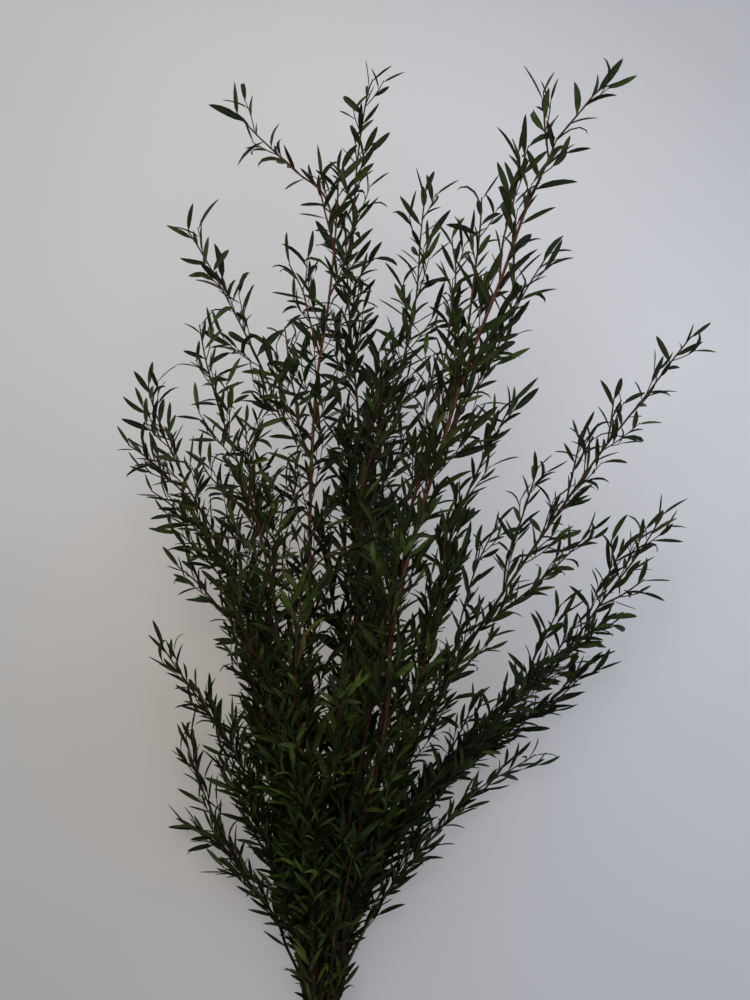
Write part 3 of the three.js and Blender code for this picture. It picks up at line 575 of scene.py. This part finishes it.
def stem_curve(stem, index):
    """The curve of a stem from its cut end to its tip."""
    across, low = slot_place(stem.slot, GATHERED_PITCH)
    cut_across, cut_low = slot_place(stem.slot, 2 * BUTT_RADIUS + CUT_GAP)
    middle, tip = stem.heights
    route = [(across, 0), *stem.route]
    cut_along = -CUT_LENGTH + between(-CUT_UNEVEN, CUT_UNEVEN, index)
    points = [place(cut_across, cut_along, cut_low)]
    for point, s in zip(route, shares(route)):
        # The parabola from low over middle to tip
        rise = (4 * middle - 3 * low - tip) * s + (2 * low - 4 * middle + 2 * tip) * s * s
        eased = 1 - math.exp(-point[1] / RISE_EASE)
        points.append(place(*point, low + rise * eased))
    return centripetal(points)


def branch_curve(height, route, main):
    """The curve of a branch. Its first point is moved onto the stem, at the nearest place."""
    start = Vector(route[0])
    spots = [main.at(s) for s in np.linspace(0, 1, math.ceil(main.length / ROOT_STEP) + 1)]
    root = min(spots, key=lambda spot: (drawn_point(spot) - start).length)
    points = [place(*point, mix(root.z, height, s)) for point, s in zip(route, shares(route))]
    return centripetal([root, *points[1:]])


def leaning(tangent, turn, angle):
    """A direction off a twig's own, by an angle and at a turn around it."""
    side = tangent.cross(Vector((0, 0, 1))).normalized()
    lift = side.cross(tangent)
    out = side * math.cos(turn) + lift * math.sin(turn)
    return tangent * math.cos(angle) + out * math.sin(angle)


def kept_between(direction, root, length, least):
    """The same direction, turned up or down where its end would come lower or higher than it may."""
    lowest = (least - root.z) / length
    highest = (HIGHEST - root.z) / length
    rise = max(min(direction.z, highest, STEEPEST), min(lowest, STEEPEST), -STEEPEST)
    if rise == direction.z:
        return direction
    rest = math.sqrt(1 - rise * rise) / math.hypot(direction.x, direction.y)
    return Vector((direction.x * rest, direction.y * rest, rise))


def side_twig(twig, s, direction, along, length, radius, tip_radius):
    """A twig that leaves another at s and bends back a little towards the other's direction."""
    root = twig.at(s)
    direction = kept_between(direction, root, length, SHOOT_REST)
    bend = root + direction * (length / 2)
    end = root + direction * (length * (1 - SHOOT_SWEEP)) + along * (length * SHOOT_SWEEP)
    end.z = max(end.z, SHOOT_REST)
    twig.nodes.append(twig.length * s)
    side = Twig(quadratic(root, bend, end), radius, min(radius, tip_radius))
    side.spread = twig.spread
    return side


def openness(point):
    """How far shoots and leaves stand off at a place. The bunch presses them together near its foot."""
    away = math.hypot(point.x + ORIGIN[0], point.y + ORIGIN[1])
    return mix(OPEN_LEAST, 1, min(1, away / OPEN_FULL))


def leaf_openness(point):
    """The same for leaves, which are pressed less."""
    return mix(openness(point), 1, LEAF_FREE)


def new_shoot(twig, below, length, turn, angle):
    """A shoot that leaves a twig at a distance below its tip."""
    s = 1 - below / twig.length
    along = twig.tangent(s)
    direction = leaning(along, turn, angle * twig.spread * openness(twig.at(s)))
    radius = min(SHOOT_RADIUS, FORK * twig.radius(s))
    return side_twig(twig, s, direction, along, length, radius, SHOOT_TIP_RADIUS)


def shoots_of(twig, bare, longest, gap, lush, keys):
    """The shoots of a stem or branch, from its tip down to its bare part. A lush one has more between."""
    shoots = []
    even = SHOOT_FIRST
    k = 0
    while True:
        step = gap * mix(1, SHOOT_CLOSER, min(1, even / SHOOT_CLOSE_BELOW))
        below = even + step * between(-SHOOT_UNEVEN, SHOOT_UNEVEN, *keys, k, 1)
        above = twig.length - bare - below
        if above < 0:
            return shoots
        share = min(1, below / SHOOT_FULL_BELOW, above / SHOOT_FULL_ABOVE)
        length = mix(SHOOT_LEAST, longest, share) * between(*SHOOT_LENGTHS, *keys, k, 2)
        turn = k * GOLDEN_ANGLE + between(-SHOOT_TURN_UNEVEN, SHOOT_TURN_UNEVEN, *keys, k, 3)
        angle = between(*SHOOT_ANGLES, *keys, k, 4)
        shoots.append((new_shoot(twig, below, length, turn, angle), (*keys, k)))
        if draw(*keys, k, 41) < lush * min(1, even / INFILL_FULL_BELOW) and above > step / 2:
            lower = below + step / 2
            infill = new_shoot(twig, lower, length * INFILL_LENGTH, turn + INFILL_TURN, angle)
            shoots.append((infill, (*keys, k, 42)))
        even += step
        k += 1


def sprigs_of(shoot, keys):
    """The sprigs of a shoot, from its tip down."""
    sprigs = []
    below = SPRIG_FROM * between(*SPRIG_FROM_SHARES, *keys, 9)
    k = 0
    while below < shoot.length - SHOOT_BARE:
        s = 1 - below / shoot.length
        length = between(*SPRIG_LENGTHS, *keys, k, 10)
        turn = (k + 0.5) * GOLDEN_ANGLE + between(-SPRIG_TURN_UNEVEN, SPRIG_TURN_UNEVEN, *keys, k, 11)
        along = shoot.tangent(s)
        share = shoot.spread * openness(shoot.at(s))
        direction = leaning(along, turn, share * between(*SPRIG_ANGLES, *keys, k, 12))
        sprig = side_twig(shoot, s, direction, along, length, SPRIG_RADIUS, SPRIG_TIP_RADIUS)
        sprigs.append((sprig, (*keys, k, 13)))
        below += SPRIG_SPACING * between(*SPRIG_SPACINGS, *keys, k, 14)
        k += 1
    return sprigs


def leaves_of(twig, leafy, usual, keys):
    """The leaves of a twig, from its tip downwards. The first one ends it."""
    leaves = []
    below = LEAF_FIRST
    j = 0
    while below <= leafy:
        s = 1 - below / twig.length
        young = min(1, (j + 1) / LEAVES_TO_FULL_SIZE)
        length = usual * mix(LEAF_YOUNG, 1, young) * between(*LEAF_LENGTHS, *keys, j, 5)
        turn = j * GOLDEN_ANGLE + between(-LEAF_TURN_UNEVEN, LEAF_TURN_UNEVEN, *keys, j, 6)
        root = twig.at(s)
        usual_angle = mix(LEAF_ANGLE_YOUNG, LEAF_ANGLE_FULL, young)
        share = twig.spread * leaf_openness(root) * between(*LEAF_ANGLES, *keys, j, 7)
        along = twig.tangent(s)
        direction = leaning(along, turn, usual_angle * share)
        direction = kept_between(direction, root, length, LEAF_WIDTH * length / 2)
        facing = along + Vector((0, 0, LEAF_FACE_UP))
        leaves.append(
            {
                "root": root - direction * LEAF_ROOT,
                "direction": direction,
                "face": (facing - direction * facing.dot(direction)).normalized(),
                "twist": between(-LEAF_TWIST, LEAF_TWIST, *keys, j, 8),
                "length": length,
                "width": LEAF_WIDTH * length * math.sqrt(leaf_openness(root)),
                "young": young,
                "keys": (*keys, j),
            }
        )
        if j:
            twig.nodes.append(twig.length * s)
        below += min(LEAF_SPACING + LEAF_THINNING * j, LEAF_SPACING_MOST) * usual / LEAF_USUAL
        j += 1
    return leaves


def grow(stem, index):
    """All the twigs and leaves of a stem."""
    main = Twig(stem_curve(stem, index), BUTT_RADIUS, TIP_RADIUS, END_LEAF)
    main.taper = stem.taper
    main.pale = float(stem.name in PALE_STEMS)
    bare = BARE_FOOT + stem.bare * (main.length - BARE_FOOT)
    axes = [(main, bare, (main.length - bare) * stem.leafy, stem.shoot)]
    for height, route in stem.branches:
        branch = Twig(branch_curve(height, route, main), BRANCH_RADIUS, TIP_RADIUS, END_LEAF)
        axes.append((branch, BRANCH_BARE, branch.length - BRANCH_BARE, stem.shoot * BRANCH_SHOOT))
    twigs = [axis[0] for axis in axes]
    for twig in twigs:
        twig.spread = stem.spread
    leaves = []
    for a, (axis, bare, leafy, longest) in enumerate(axes):
        leaves += leaves_of(axis, leafy, stem.leaf, (index, a))
        for shoot, keys in shoots_of(axis, bare, longest, stem.gap, stem.lush, (index, a)):
            shoot.pale = float(draw(*keys, 43) < PALE_CHANCE)
            twigs.append(shoot)
            leaves += leaves_of(shoot, shoot.length - SHOOT_BARE, stem.leaf, keys)
            for sprig, sprig_keys in sprigs_of(shoot, keys):
                sprig.pale = shoot.pale
                twigs.append(sprig)
                usual = stem.leaf * SPRIG_LEAF
                leaves += leaves_of(sprig, sprig.length - SPRIG_BARE, usual, sprig_keys)
    return twigs, leaves


def pressed(points):
    """Points that would go under the surface, eased so that they lie on it."""
    height = points[..., 2]
    low = FLOOR_EASE * np.exp(np.minimum(height, FLOOR_EASE) / FLOOR_EASE - 1)
    points[..., 2] = np.where(height < FLOOR_EASE, low, height)
    return points


def unit(vectors):
    return vectors / np.linalg.norm(vectors, axis=-1, keepdims=True)


def turned(vectors, about, angles):
    """Vectors turned about unit vectors at right angles to them."""
    return vectors * np.cos(angles)[..., None] + np.cross(about, vectors) * np.sin(angles)[..., None]


def column(leaves, key):
    """What each leaf has under a key, as a column of rows."""
    return np.array([leaf[key] for leaf in leaves])[:, None]


def drawn_for(leaves, low, high, key):
    """A number from low to high for each leaf, as a column."""
    return np.array([between(low, high, *leaf["keys"], key) for leaf in leaves])[:, None]


def leaf_points(leaves):
    """The points of all the leaves of a stem: leaf, ring, place round the section, xyz."""
    direction = column(leaves, "direction")
    face = turned(column(leaves, "face"), direction, column(leaves, "twist"))
    across = np.cross(face, direction)

    s, width = np.array(LEAF_RINGS).T
    curls = drawn_for(leaves, 0, 1, 21) < LEAF_CURL_CHANCE
    curl = np.where(curls, drawn_for(leaves, *LEAF_CURLS, 22), 0)
    bend = drawn_for(leaves, *LEAF_BENDS, 23) * s + curl * s**3
    sickle = drawn_for(leaves, -LEAF_SICKLE, LEAF_SICKLE, 24) * s
    line = direction * (np.cos(bend) * np.cos(sickle))[..., None]
    line = line - face * np.sin(bend)[..., None] + across * (np.cos(bend) * np.sin(sickle))[..., None]
    line = unit(line)
    gaps = np.diff(s, prepend=0)
    middles = (line + np.concatenate([line[:, :1], line[:, :-1]], axis=1)) / 2
    length = column(leaves, "length")[..., None]
    spine = column(leaves, "root") + np.cumsum(middles * gaps[:, None], axis=1) * length

    up = unit(face - line * np.sum(face * line, axis=-1, keepdims=True))
    up = np.where(np.cos(bend)[..., None] < 0, -up, up)
    twine = drawn_for(leaves, -LEAF_TWINE, LEAF_TWINE, 25) * s
    up = turned(up, line, twine)
    side = np.cross(up, line)

    narrow = np.where(drawn_for(leaves, 0, 1, 26) < LEAF_NARROW_CHANCE, LEAF_NARROW, 1)
    widest = column(leaves, "width") * narrow
    half = widest / 2 * drawn_for(leaves, *LEAF_WIDTHS, 27) * width
    fold = drawn_for(leaves, *LEAF_FOLDS, 28) / narrow**2
    points = [
        spine + side * (half * u)[..., None] + up * (half * fold * v)[..., None] for u, v in LEAF_SECTION
    ]
    rib = LEAF_RIB * np.sqrt(width) * np.ones_like(half)
    points.append(spine - up * rib[..., None])
    return pressed(np.stack(points, axis=2))


def sheet_quads(rings, around):
    """The faces of a closed sleeve of rings, as rows of four numbers, and each corner's place round it."""
    k = np.arange(rings - 1)[:, None]
    i = np.arange(around)[None, :]
    j = (i + 1) % around
    quads = np.stack([k * around + i, (k + 1) * around + i, (k + 1) * around + j, k * around + j], axis=-1)
    places = np.stack([i, i, i + 1, i + 1], axis=-1) + 0 * k[..., None]
    return quads.reshape(-1, 4), places.reshape(-1, 4)


def new_object(name, data):
    """An object of a mesh, light or camera, put in the scene."""
    obj = bpy.data.objects.new(name, data)
    bpy.context.scene.collection.objects.link(obj)
    return obj


def new_mesh(name, points, quads, uv, colours, material):
    """A mesh object of points in mm, with a UV for each corner and a colour for each point."""
    mesh = bpy.data.meshes.new(name)
    mesh.vertices.add(len(points))
    mesh.vertices.foreach_set("co", (points * MM).astype(np.float32).ravel())
    mesh.loops.add(quads.size)
    mesh.loops.foreach_set("vertex_index", quads.astype(np.int32).ravel())
    mesh.polygons.add(len(quads))
    mesh.polygons.foreach_set("loop_start", np.arange(0, quads.size, 4, dtype=np.int32))
    mesh.update(calc_edges=True)
    mesh.uv_layers.new(name="UVMap").data.foreach_set("uv", uv.astype(np.float32).ravel())
    layer = mesh.attributes.new("tone", "FLOAT_COLOR", "POINT")
    layer.data.foreach_set("color", colours.astype(np.float32).ravel())
    mesh.polygons.foreach_set("use_smooth", np.ones(len(quads), bool))
    mesh.set_sharp_from_angle(angle=SHARP_ANGLE)
    mesh.validate()
    mesh.materials.append(material)
    return new_object(name, mesh)


def leaf_colours(stem, leaves):
    """The colour of each leaf, and in its last number how dry its tip is."""
    colours = []
    for leaf in leaves:
        keys = leaf["keys"]
        share = draw(*keys, 31) ** 2
        low = np.array(LEAF_DEEP if draw(*keys, 32) < DEEP_CHANCE else LEAF_COOL)
        high = np.array(LEAF_OLIVE if draw(*keys, 33) < OLIVE_CHANCE else LEAF_FRESH)
        # Painted light: stems in front get more of the light colours, stems at the back and below less
        share = share * (LEAST_FRESH_AND_LIT + MORE_FRESH_AND_LIT * stem.fresh) + YOUNG_FRESH * (1 - leaf["young"])
        colour = mix(low, high, min(1, share))
        dry = between(*DRY_TIPS, *keys, 34) if draw(*keys, 35) < DRY_TIP_CHANCE else 0
        colours.append([*(colour * between(*LEAF_LIGHTS, *keys, 36)), dry])
    return np.array(colours)


def make_leaves(stem, leaves, material):
    """All the leaves of a stem as one mesh."""
    points = leaf_points(leaves)
    count, rings, around = points.shape[:3]
    quads, places = sheet_quads(rings, around)
    k = np.repeat(np.arange(rings - 1), around)
    along = np.array([ring[0] for ring in LEAF_RINGS])
    ends = np.stack([k, k + 1, k + 1, k], axis=-1)
    top = len(LEAF_SECTION) - 1
    # Across runs from 0 to 1 over the upper side, and from 1 to 2 back under the leaf
    across = np.where(places <= top, places / top, 1 + (places - top) / 2)
    uv = np.stack([across, along[ends]], axis=-1)
    first = np.arange(count)[:, None, None] * rings * around
    colours = np.repeat(leaf_colours(stem, leaves), rings * around, axis=0)
    return new_mesh(
        stem.name + "_leaves",
        points.reshape(-1, 3),
        (quads[None] + first).reshape(-1, 4),
        np.broadcast_to(uv, (count, *uv.shape)).reshape(-1, 2),
        colours,
        material,
    )


def wood_sleeve(twig, sides, step, has_cut_end, ruddy):
    """The points, faces, UVs and colours of a twig's wood."""
    count = max(LEAST_STEPS, math.ceil(twig.length / step))
    places = np.linspace(0, twig.length, count + 1)
    nodes = np.array([node for node in twig.nodes if 0 < node < twig.length])
    if sides > SHOOT_SIDES:
        around = np.concatenate([nodes, nodes - NODE_LENGTH, nodes + NODE_LENGTH])
        places = np.sort(np.concatenate([places, around]))
        places = places[(places >= 0) & (places <= twig.length)]
        places = places[np.concatenate([[True], np.diff(places) > LEAST_STEP])]
    radius = twig.radius(places / twig.length)
    if len(nodes):
        near = np.abs(places[:, None] - nodes).min(axis=1)
        radius = radius * (1 + NODE_SWELL * np.exp(-((near / NODE_LENGTH) ** 2)))
    rings, shares_of_radius = np.array(TIP_RINGS, float).T
    places = np.concatenate([places, places[-1] + TIP_ROUND * rings])
    radius = np.concatenate([radius, radius[-1] * shares_of_radius])
    cut = np.zeros(len(places))
    if has_cut_end:
        rings, shares_of_radius = np.array(CUT_FACE, float).T
        places = np.concatenate([rings, places])
        radius = np.concatenate([shares_of_radius * radius[0], radius])
        cut = np.concatenate([np.ones(len(rings)), cut])
    centre = twig.many(places)
    inside = np.clip(places, DIRECTION_REACH, twig.length - DIRECTION_REACH)
    tangent = unit(twig.many(inside + DIRECTION_REACH) - twig.many(inside - DIRECTION_REACH))
    centre = centre + tangent * (places - np.clip(places, 0, twig.lengths[-1]))[:, None]
    side = unit(np.cross(tangent, [0, 0, 1]))
    lift = np.cross(side, tangent)
    angles = np.arange(sides) * 2 * math.pi / sides
    # side, lift and tangent are left-handed in this order, so the rings run the other way round
    out = side[:, None] * np.cos(-angles)[:, None] + lift[:, None] * np.sin(-angles)[:, None]
    points = centre[:, None] + out * radius[:, None, None]
    quads, corners = sheet_quads(len(places), sides)
    ends = quads // sides
    uv = np.stack([corners / sides * 2 * math.pi * BUTT_RADIUS, places[ends]], axis=-1) / BARK_TILE
    girth = np.repeat(radius / BUTT_RADIUS, sides)
    ones = np.ones_like(girth)
    colours = np.stack([girth, np.repeat(cut, sides), ruddy * ones, twig.pale * ones], axis=-1)
    return pressed(points.reshape(-1, 3)), quads[:, ::-1], uv[:, ::-1], colours


def make_wood(stem, twigs, material):
    """The stem, its branches, shoots and sprigs as one mesh."""
    parts = []
    first = 0
    for number, twig in enumerate(twigs):
        if number == 0:
            sides, step = STEM_SIDES, RING_STEP
        elif number <= len(stem.branches):
            sides, step = BRANCH_SIDES, RING_STEP
        else:
            sides, step = SHOOT_SIDES, TWIG_RING_STEP
        points, quads, uv, colours = wood_sleeve(twig, sides, step, number == 0, stem.ruddy)
        parts.append((points, quads + first, uv, colours))
        first += len(points)
    points, quads, uv, colours = (np.concatenate(column) for column in zip(*parts))
    return new_mesh(stem.name + "_wood", points, quads, uv, colours, material)


class Nodes:
    """Builds a material's node tree from short calls."""

    def __init__(self, name):
        self.material = bpy.data.materials.new(name)
        self.material.use_nodes = True
        self.tree = self.material.node_tree
        self.shader = self.tree.nodes["Principled BSDF"]

    def add(self, kind, settings=None, **inputs):
        """A node. Settings are its properties, and inputs are numbers or other nodes' outputs by name."""
        node = self.tree.nodes.new(kind)
        for key, value in (settings or {}).items():
            setattr(node, key, value)
        for key, value in inputs.items():
            self.set(node, key, value)
        return node

    def set(self, node, key, value):
        socket = node.inputs[int(key[1:])] if key[0] == "i" and key[1:].isdigit() else node.inputs[key]
        if isinstance(value, bpy.types.NodeSocket):
            self.tree.links.new(value, socket)
        else:
            socket.default_value = value

    def math(self, operation, first, second=0.0, third=0.0):
        settings = {"operation": operation}
        return self.add("ShaderNodeMath", settings, i0=first, i1=second, i2=third).outputs[0]

    def blend(self, share, first, second, kind="MIX"):
        settings = {"data_type": "RGBA", "blend_type": kind, "clamp_factor": True}
        node = self.add("ShaderNodeMix", settings, i0=share, i6=first, i7=second)
        return node.outputs[2]

    def stain(self, colour, mask, share, other):
        """A colour with a share of another one in it, where a mask is."""
        return self.blend(self.math("MULTIPLY", mask, share), colour, other)

    def spread(self, value, low, high, new_low=0.0, new_high=1.0):
        """Maps a number from one range to another, smoothly and without going past it."""
        settings = {"interpolation_type": "SMOOTHSTEP"}
        return self.add(
            "ShaderNodeMapRange", settings, i0=value, i1=low, i2=high, i3=new_low, i4=new_high
        ).outputs[0]

    def noise(self, vector, scale, detail):
        node = self.add("ShaderNodeTexNoise", None, Vector=vector, Scale=scale, Detail=detail)
        return node.outputs[0]

    def shade(self, value, low, high, dark, light):
        """A grey that goes from dark to light as a number goes from low to high."""
        grey = self.spread(value, low, high, dark, light)
        return self.add("ShaderNodeCombineColor", None, i0=grey, i1=grey, i2=grey).outputs[0]

    def scaled(self, vector, x, y, z):
        settings = {"operation": "MULTIPLY"}
        return self.add("ShaderNodeVectorMath", settings, i0=vector, i1=(x, y, z)).outputs[0]

    def distance(self, vector, point):
        settings = {"operation": "DISTANCE"}
        return self.add("ShaderNodeVectorMath", settings, i0=vector, i1=point).outputs[1]

    def bump(self, height, distance, strength):
        node = self.add("ShaderNodeBump", None, Height=height, Distance=distance, Strength=strength)
        self.set(self.shader, "Normal", node.outputs[0])

    def finish(self, **inputs):
        for key, value in inputs.items():
            self.set(self.shader, key.replace("_", " "), value)
        return self.material


def leaf_material():
    """A preserved leaf: satin and dark above with a paler midrib, greyer and duller below."""
    nodes = Nodes("leaf")
    uv = nodes.add("ShaderNodeUVMap", {"uv_map": "UVMap"}).outputs[0]
    parts = nodes.add("ShaderNodeSeparateXYZ", None, i0=uv)
    across, along = parts.outputs[0], parts.outputs[1]
    tone = nodes.add("ShaderNodeAttribute", {"attribute_name": "tone"})
    place = nodes.add("ShaderNodeTexCoord").outputs["Object"]

    # The upper side's midrib is at 0.5 across and the lower side's at 1.5
    under = nodes.math("GREATER_THAN", across, 1.001)
    off_rib = nodes.math("ABSOLUTE", nodes.math("SUBTRACT", across, nodes.math("ADD", 0.5, under)))
    rib = nodes.spread(off_rib, *RIB_RANGE)
    margin = nodes.spread(off_rib, *MARGIN_RANGE)
    # Fine veins leave the midrib at a low angle
    slant = nodes.math("MULTIPLY_ADD", off_rib, -VEIN_LEAN, nodes.math("MULTIPLY", along, VEIN_ASPECT))
    waves = nodes.math("SINE", nodes.math("MULTIPLY", slant, VEINS * 2 * math.pi / VEIN_ASPECT))
    veins = nodes.spread(waves, *VEIN_RANGE)

    mottle = nodes.noise(place, *LEAF_MOTTLE)
    light = nodes.shade(mottle, *MOTTLE_LIGHT)
    colour = nodes.blend(1.0, tone.outputs["Color"], light, "MULTIPLY")
    colour = nodes.stain(colour, veins, VEIN_SHARE, LEAF_VEIN)
    colour = nodes.stain(colour, rib, RIB_SHARE, LEAF_VEIN)
    colour = nodes.stain(colour, margin, MARGIN_SHARE, LEAF_MARGIN)
    colour = nodes.stain(colour, under, UNDER_SHARE, LEAF_UNDER)
    colour = nodes.blend(nodes.spread(along, *LEAF_FOOT_RANGE), colour, LEAF_FOOT)
    tip = nodes.spread(along, *LEAF_TIP_RANGE)
    colour = nodes.stain(colour, tip, tone.outputs["Alpha"], LEAF_DRY)
    roughness = nodes.spread(mottle, *LEAF_ROUGHNESS)
    roughness = nodes.math("MULTIPLY_ADD", under, UNDER_ROUGHER, roughness)
    relief = nodes.math("MULTIPLY_ADD", veins, VEIN_RELIEF, nodes.math("MULTIPLY", rib, RIB_RELIEF))
    nodes.bump(nodes.math("ADD", relief, mottle), *LEAF_BUMP)
    return nodes.finish(Base_Color=colour, Roughness=roughness, Specular_IOR_Level=LEAF_SPECULAR)


def bark_material():
    """Thin reddish-brown bark, smooth on shoots, streaked and flaky on thick wood, and pale cut wood."""
    nodes = Nodes("bark")
    uv = nodes.add("ShaderNodeUVMap", {"uv_map": "UVMap"}).outputs[0]
    tone = nodes.add("ShaderNodeAttribute", {"attribute_name": "tone"})
    parts = nodes.add("ShaderNodeSeparateColor", None, i0=tone.outputs["Color"])
    girth, cut, ruddy = parts.outputs[0], parts.outputs[1], parts.outputs[2]
    place = nodes.add("ShaderNodeTexCoord").outputs["Object"]
    along = nodes.add("ShaderNodeSeparateXYZ", None, i0=place).outputs[1]

    streaks = nodes.noise(nodes.scaled(uv, *STREAK_STRETCH), *STREAKS)
    flakes = nodes.spread(nodes.noise(nodes.scaled(uv, *FLAKE_STRETCH), *FLAKES), *FLAKE_RANGE)
    flakes = nodes.math("MULTIPLY", flakes, nodes.spread(girth, *FLAKE_GIRTH))
    # Partly the bark's own ruddy colour, partly painted light on the lit stems
    red = nodes.blend(ruddy, BARK_RED, BARK_LIT)
    colour = nodes.blend(nodes.spread(streaks, *STREAK_RANGE), BARK_DEEP, red)
    colour = nodes.blend(nodes.spread(girth, *YOUNG_GIRTH), colour, BARK_YOUNG)
    colour = nodes.stain(colour, flakes, FLAKE_SHARE, BARK_FLAKE)
    # Painted shade: the bark gets darker towards the gathered foot
    colour = nodes.blend(1.0, colour, nodes.shade(along, *FOOT_PAINTED_SHADE), "MULTIPLY")
    colour = nodes.stain(colour, tone.outputs["Alpha"], PALE_SHARE, BARK_PALE)
    # A cut face's rings and pith, by the share of the thickest stem's radius
    rings = nodes.math("SINE", nodes.math("MULTIPLY", girth, CUT_RINGS * 2 * math.pi))
    wood = nodes.blend(nodes.spread(rings, *RING_RANGE), WOOD_CUT, WOOD_RING)
    wood = nodes.blend(nodes.spread(girth, *PITH_GIRTH), wood, WOOD_PITH)
    colour = nodes.blend(cut, colour, wood)
    roughness = nodes.spread(streaks, *BARK_ROUGHNESS)
    nodes.bump(nodes.math("ADD", streaks, flakes), *BARK_BUMP)
    return nodes.finish(Base_Color=colour, Roughness=roughness, Specular_IOR_Level=BARK_SPECULAR)


def floor_material():
    """A plain pale surface with a very fine tooth, with painted pools of light and shade and a painted glow.
    """
    nodes = Nodes("floor")
    place = nodes.add("ShaderNodeTexCoord").outputs["Object"]
    parts = nodes.add("ShaderNodeSeparateXYZ", None, i0=place)
    across, along = parts.outputs[0], parts.outputs[1]
    # Painted light: dimmer and warmer to the left, lighter and cooler to the right
    share = nodes.math("ADD", nodes.spread(across, *FLOOR_SIDES), nodes.noise(place, *FLOOR_CLOUDS))
    colour = nodes.blend(nodes.math("SUBTRACT", share, NOISE_MIDDLE), FLOOR_LEFT_LIGHT, FLOOR_RIGHT_LIGHT)
    # Painted shade: a warm, darker patch beside the bunch
    warm_shade = nodes.spread(nodes.distance(place, WARM_SHADE_PLACE), *WARM_SHADE_RANGE)
    colour = nodes.blend(warm_shade, colour, WARM_PAINTED_SHADE, "MULTIPLY")
    # Painted light and shade: dimmer towards the cut ends and beyond the tips, a pool of light round the bunch
    near = nodes.math("MULTIPLY_ADD", across, NEAR_SLOPE, along)
    far = nodes.math("MULTIPLY_ADD", across, FAR_SLOPE, along)
    away = nodes.distance(place, POOL_PLACE)
    for light in (
        nodes.shade(near, *NEAR_LIGHT),
        nodes.shade(far, *FAR_LIGHT),
        nodes.shade(away, *POOL_LIGHT),
    ):
        colour = nodes.blend(1.0, colour, light, "MULTIPLY")
    nodes.bump(nodes.noise(place, *FLOOR_TOOTH), *FLOOR_BUMP)
    glow = {"Emission_Color": colour, "Emission_Strength": GLOW}
    return nodes.finish(Base_Color=colour, Roughness=FLOOR_ROUGHNESS, **glow)


def make_floor():
    half = FLOOR_SIZE / 2
    mesh = bpy.data.meshes.new("floor")
    corners = [(-half, -half, 0), (half, -half, 0), (half, half, 0), (-half, half, 0)]
    mesh.from_pydata(corners, [], [(0, 1, 2, 3)])
    mesh.materials.append(floor_material())
    floor = new_object("floor", mesh)


def add_light(name, place, size, watts, colour):
    """A square soft light that looks at the middle of the bunch."""
    data = bpy.data.lights.new(name, "AREA")
    data.shape = "SQUARE"
    data.size = size
    data.energy = watts
    data.color = colour
    light = new_object(name, data)
    light.location = place
    light.rotation_euler = (Vector(LIGHT_AIM) - Vector(place)).to_track_quat("-Z", "Y").to_euler()


def add_camera():
    """The eye straight above the bunch. The photograph's middle is over MIDDLE."""
    data = bpy.data.cameras.new("camera")
    data.sensor_width = SENSOR
    data.lens = LENS
    data.clip_start, data.clip_end = CLIP
    camera = new_object("camera", data)
    camera.location = ((MIDDLE[0] - ORIGIN[0]) * MM, (MIDDLE[1] - ORIGIN[1]) * MM, EYE_HEIGHT * MM)
    bpy.context.scene.camera = camera


def set_world():
    world = bpy.data.worlds.new("studio")
    world.use_nodes = True
    background = world.node_tree.nodes["Background"]
    background.inputs[0].default_value = (*WORLD_COLOUR, 1)
    background.inputs[1].default_value = WORLD_STRENGTH
    bpy.context.scene.world = world
    bpy.context.scene.view_settings.view_transform = "Standard"


leaf = leaf_material()
bark = bark_material()
for index, stem in enumerate(STEMS):
    twigs, leaves = grow(stem, index)
    for piece, slot in (
        (make_wood(stem, twigs, bark), "bark"),
        (make_leaves(stem, leaves, leaf), "leaf"),
    ):
        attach(piece, "root")
        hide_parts(stem.name)
make_floor()
for light in LIGHTS:
    add_light(*light)
set_world()
add_camera()
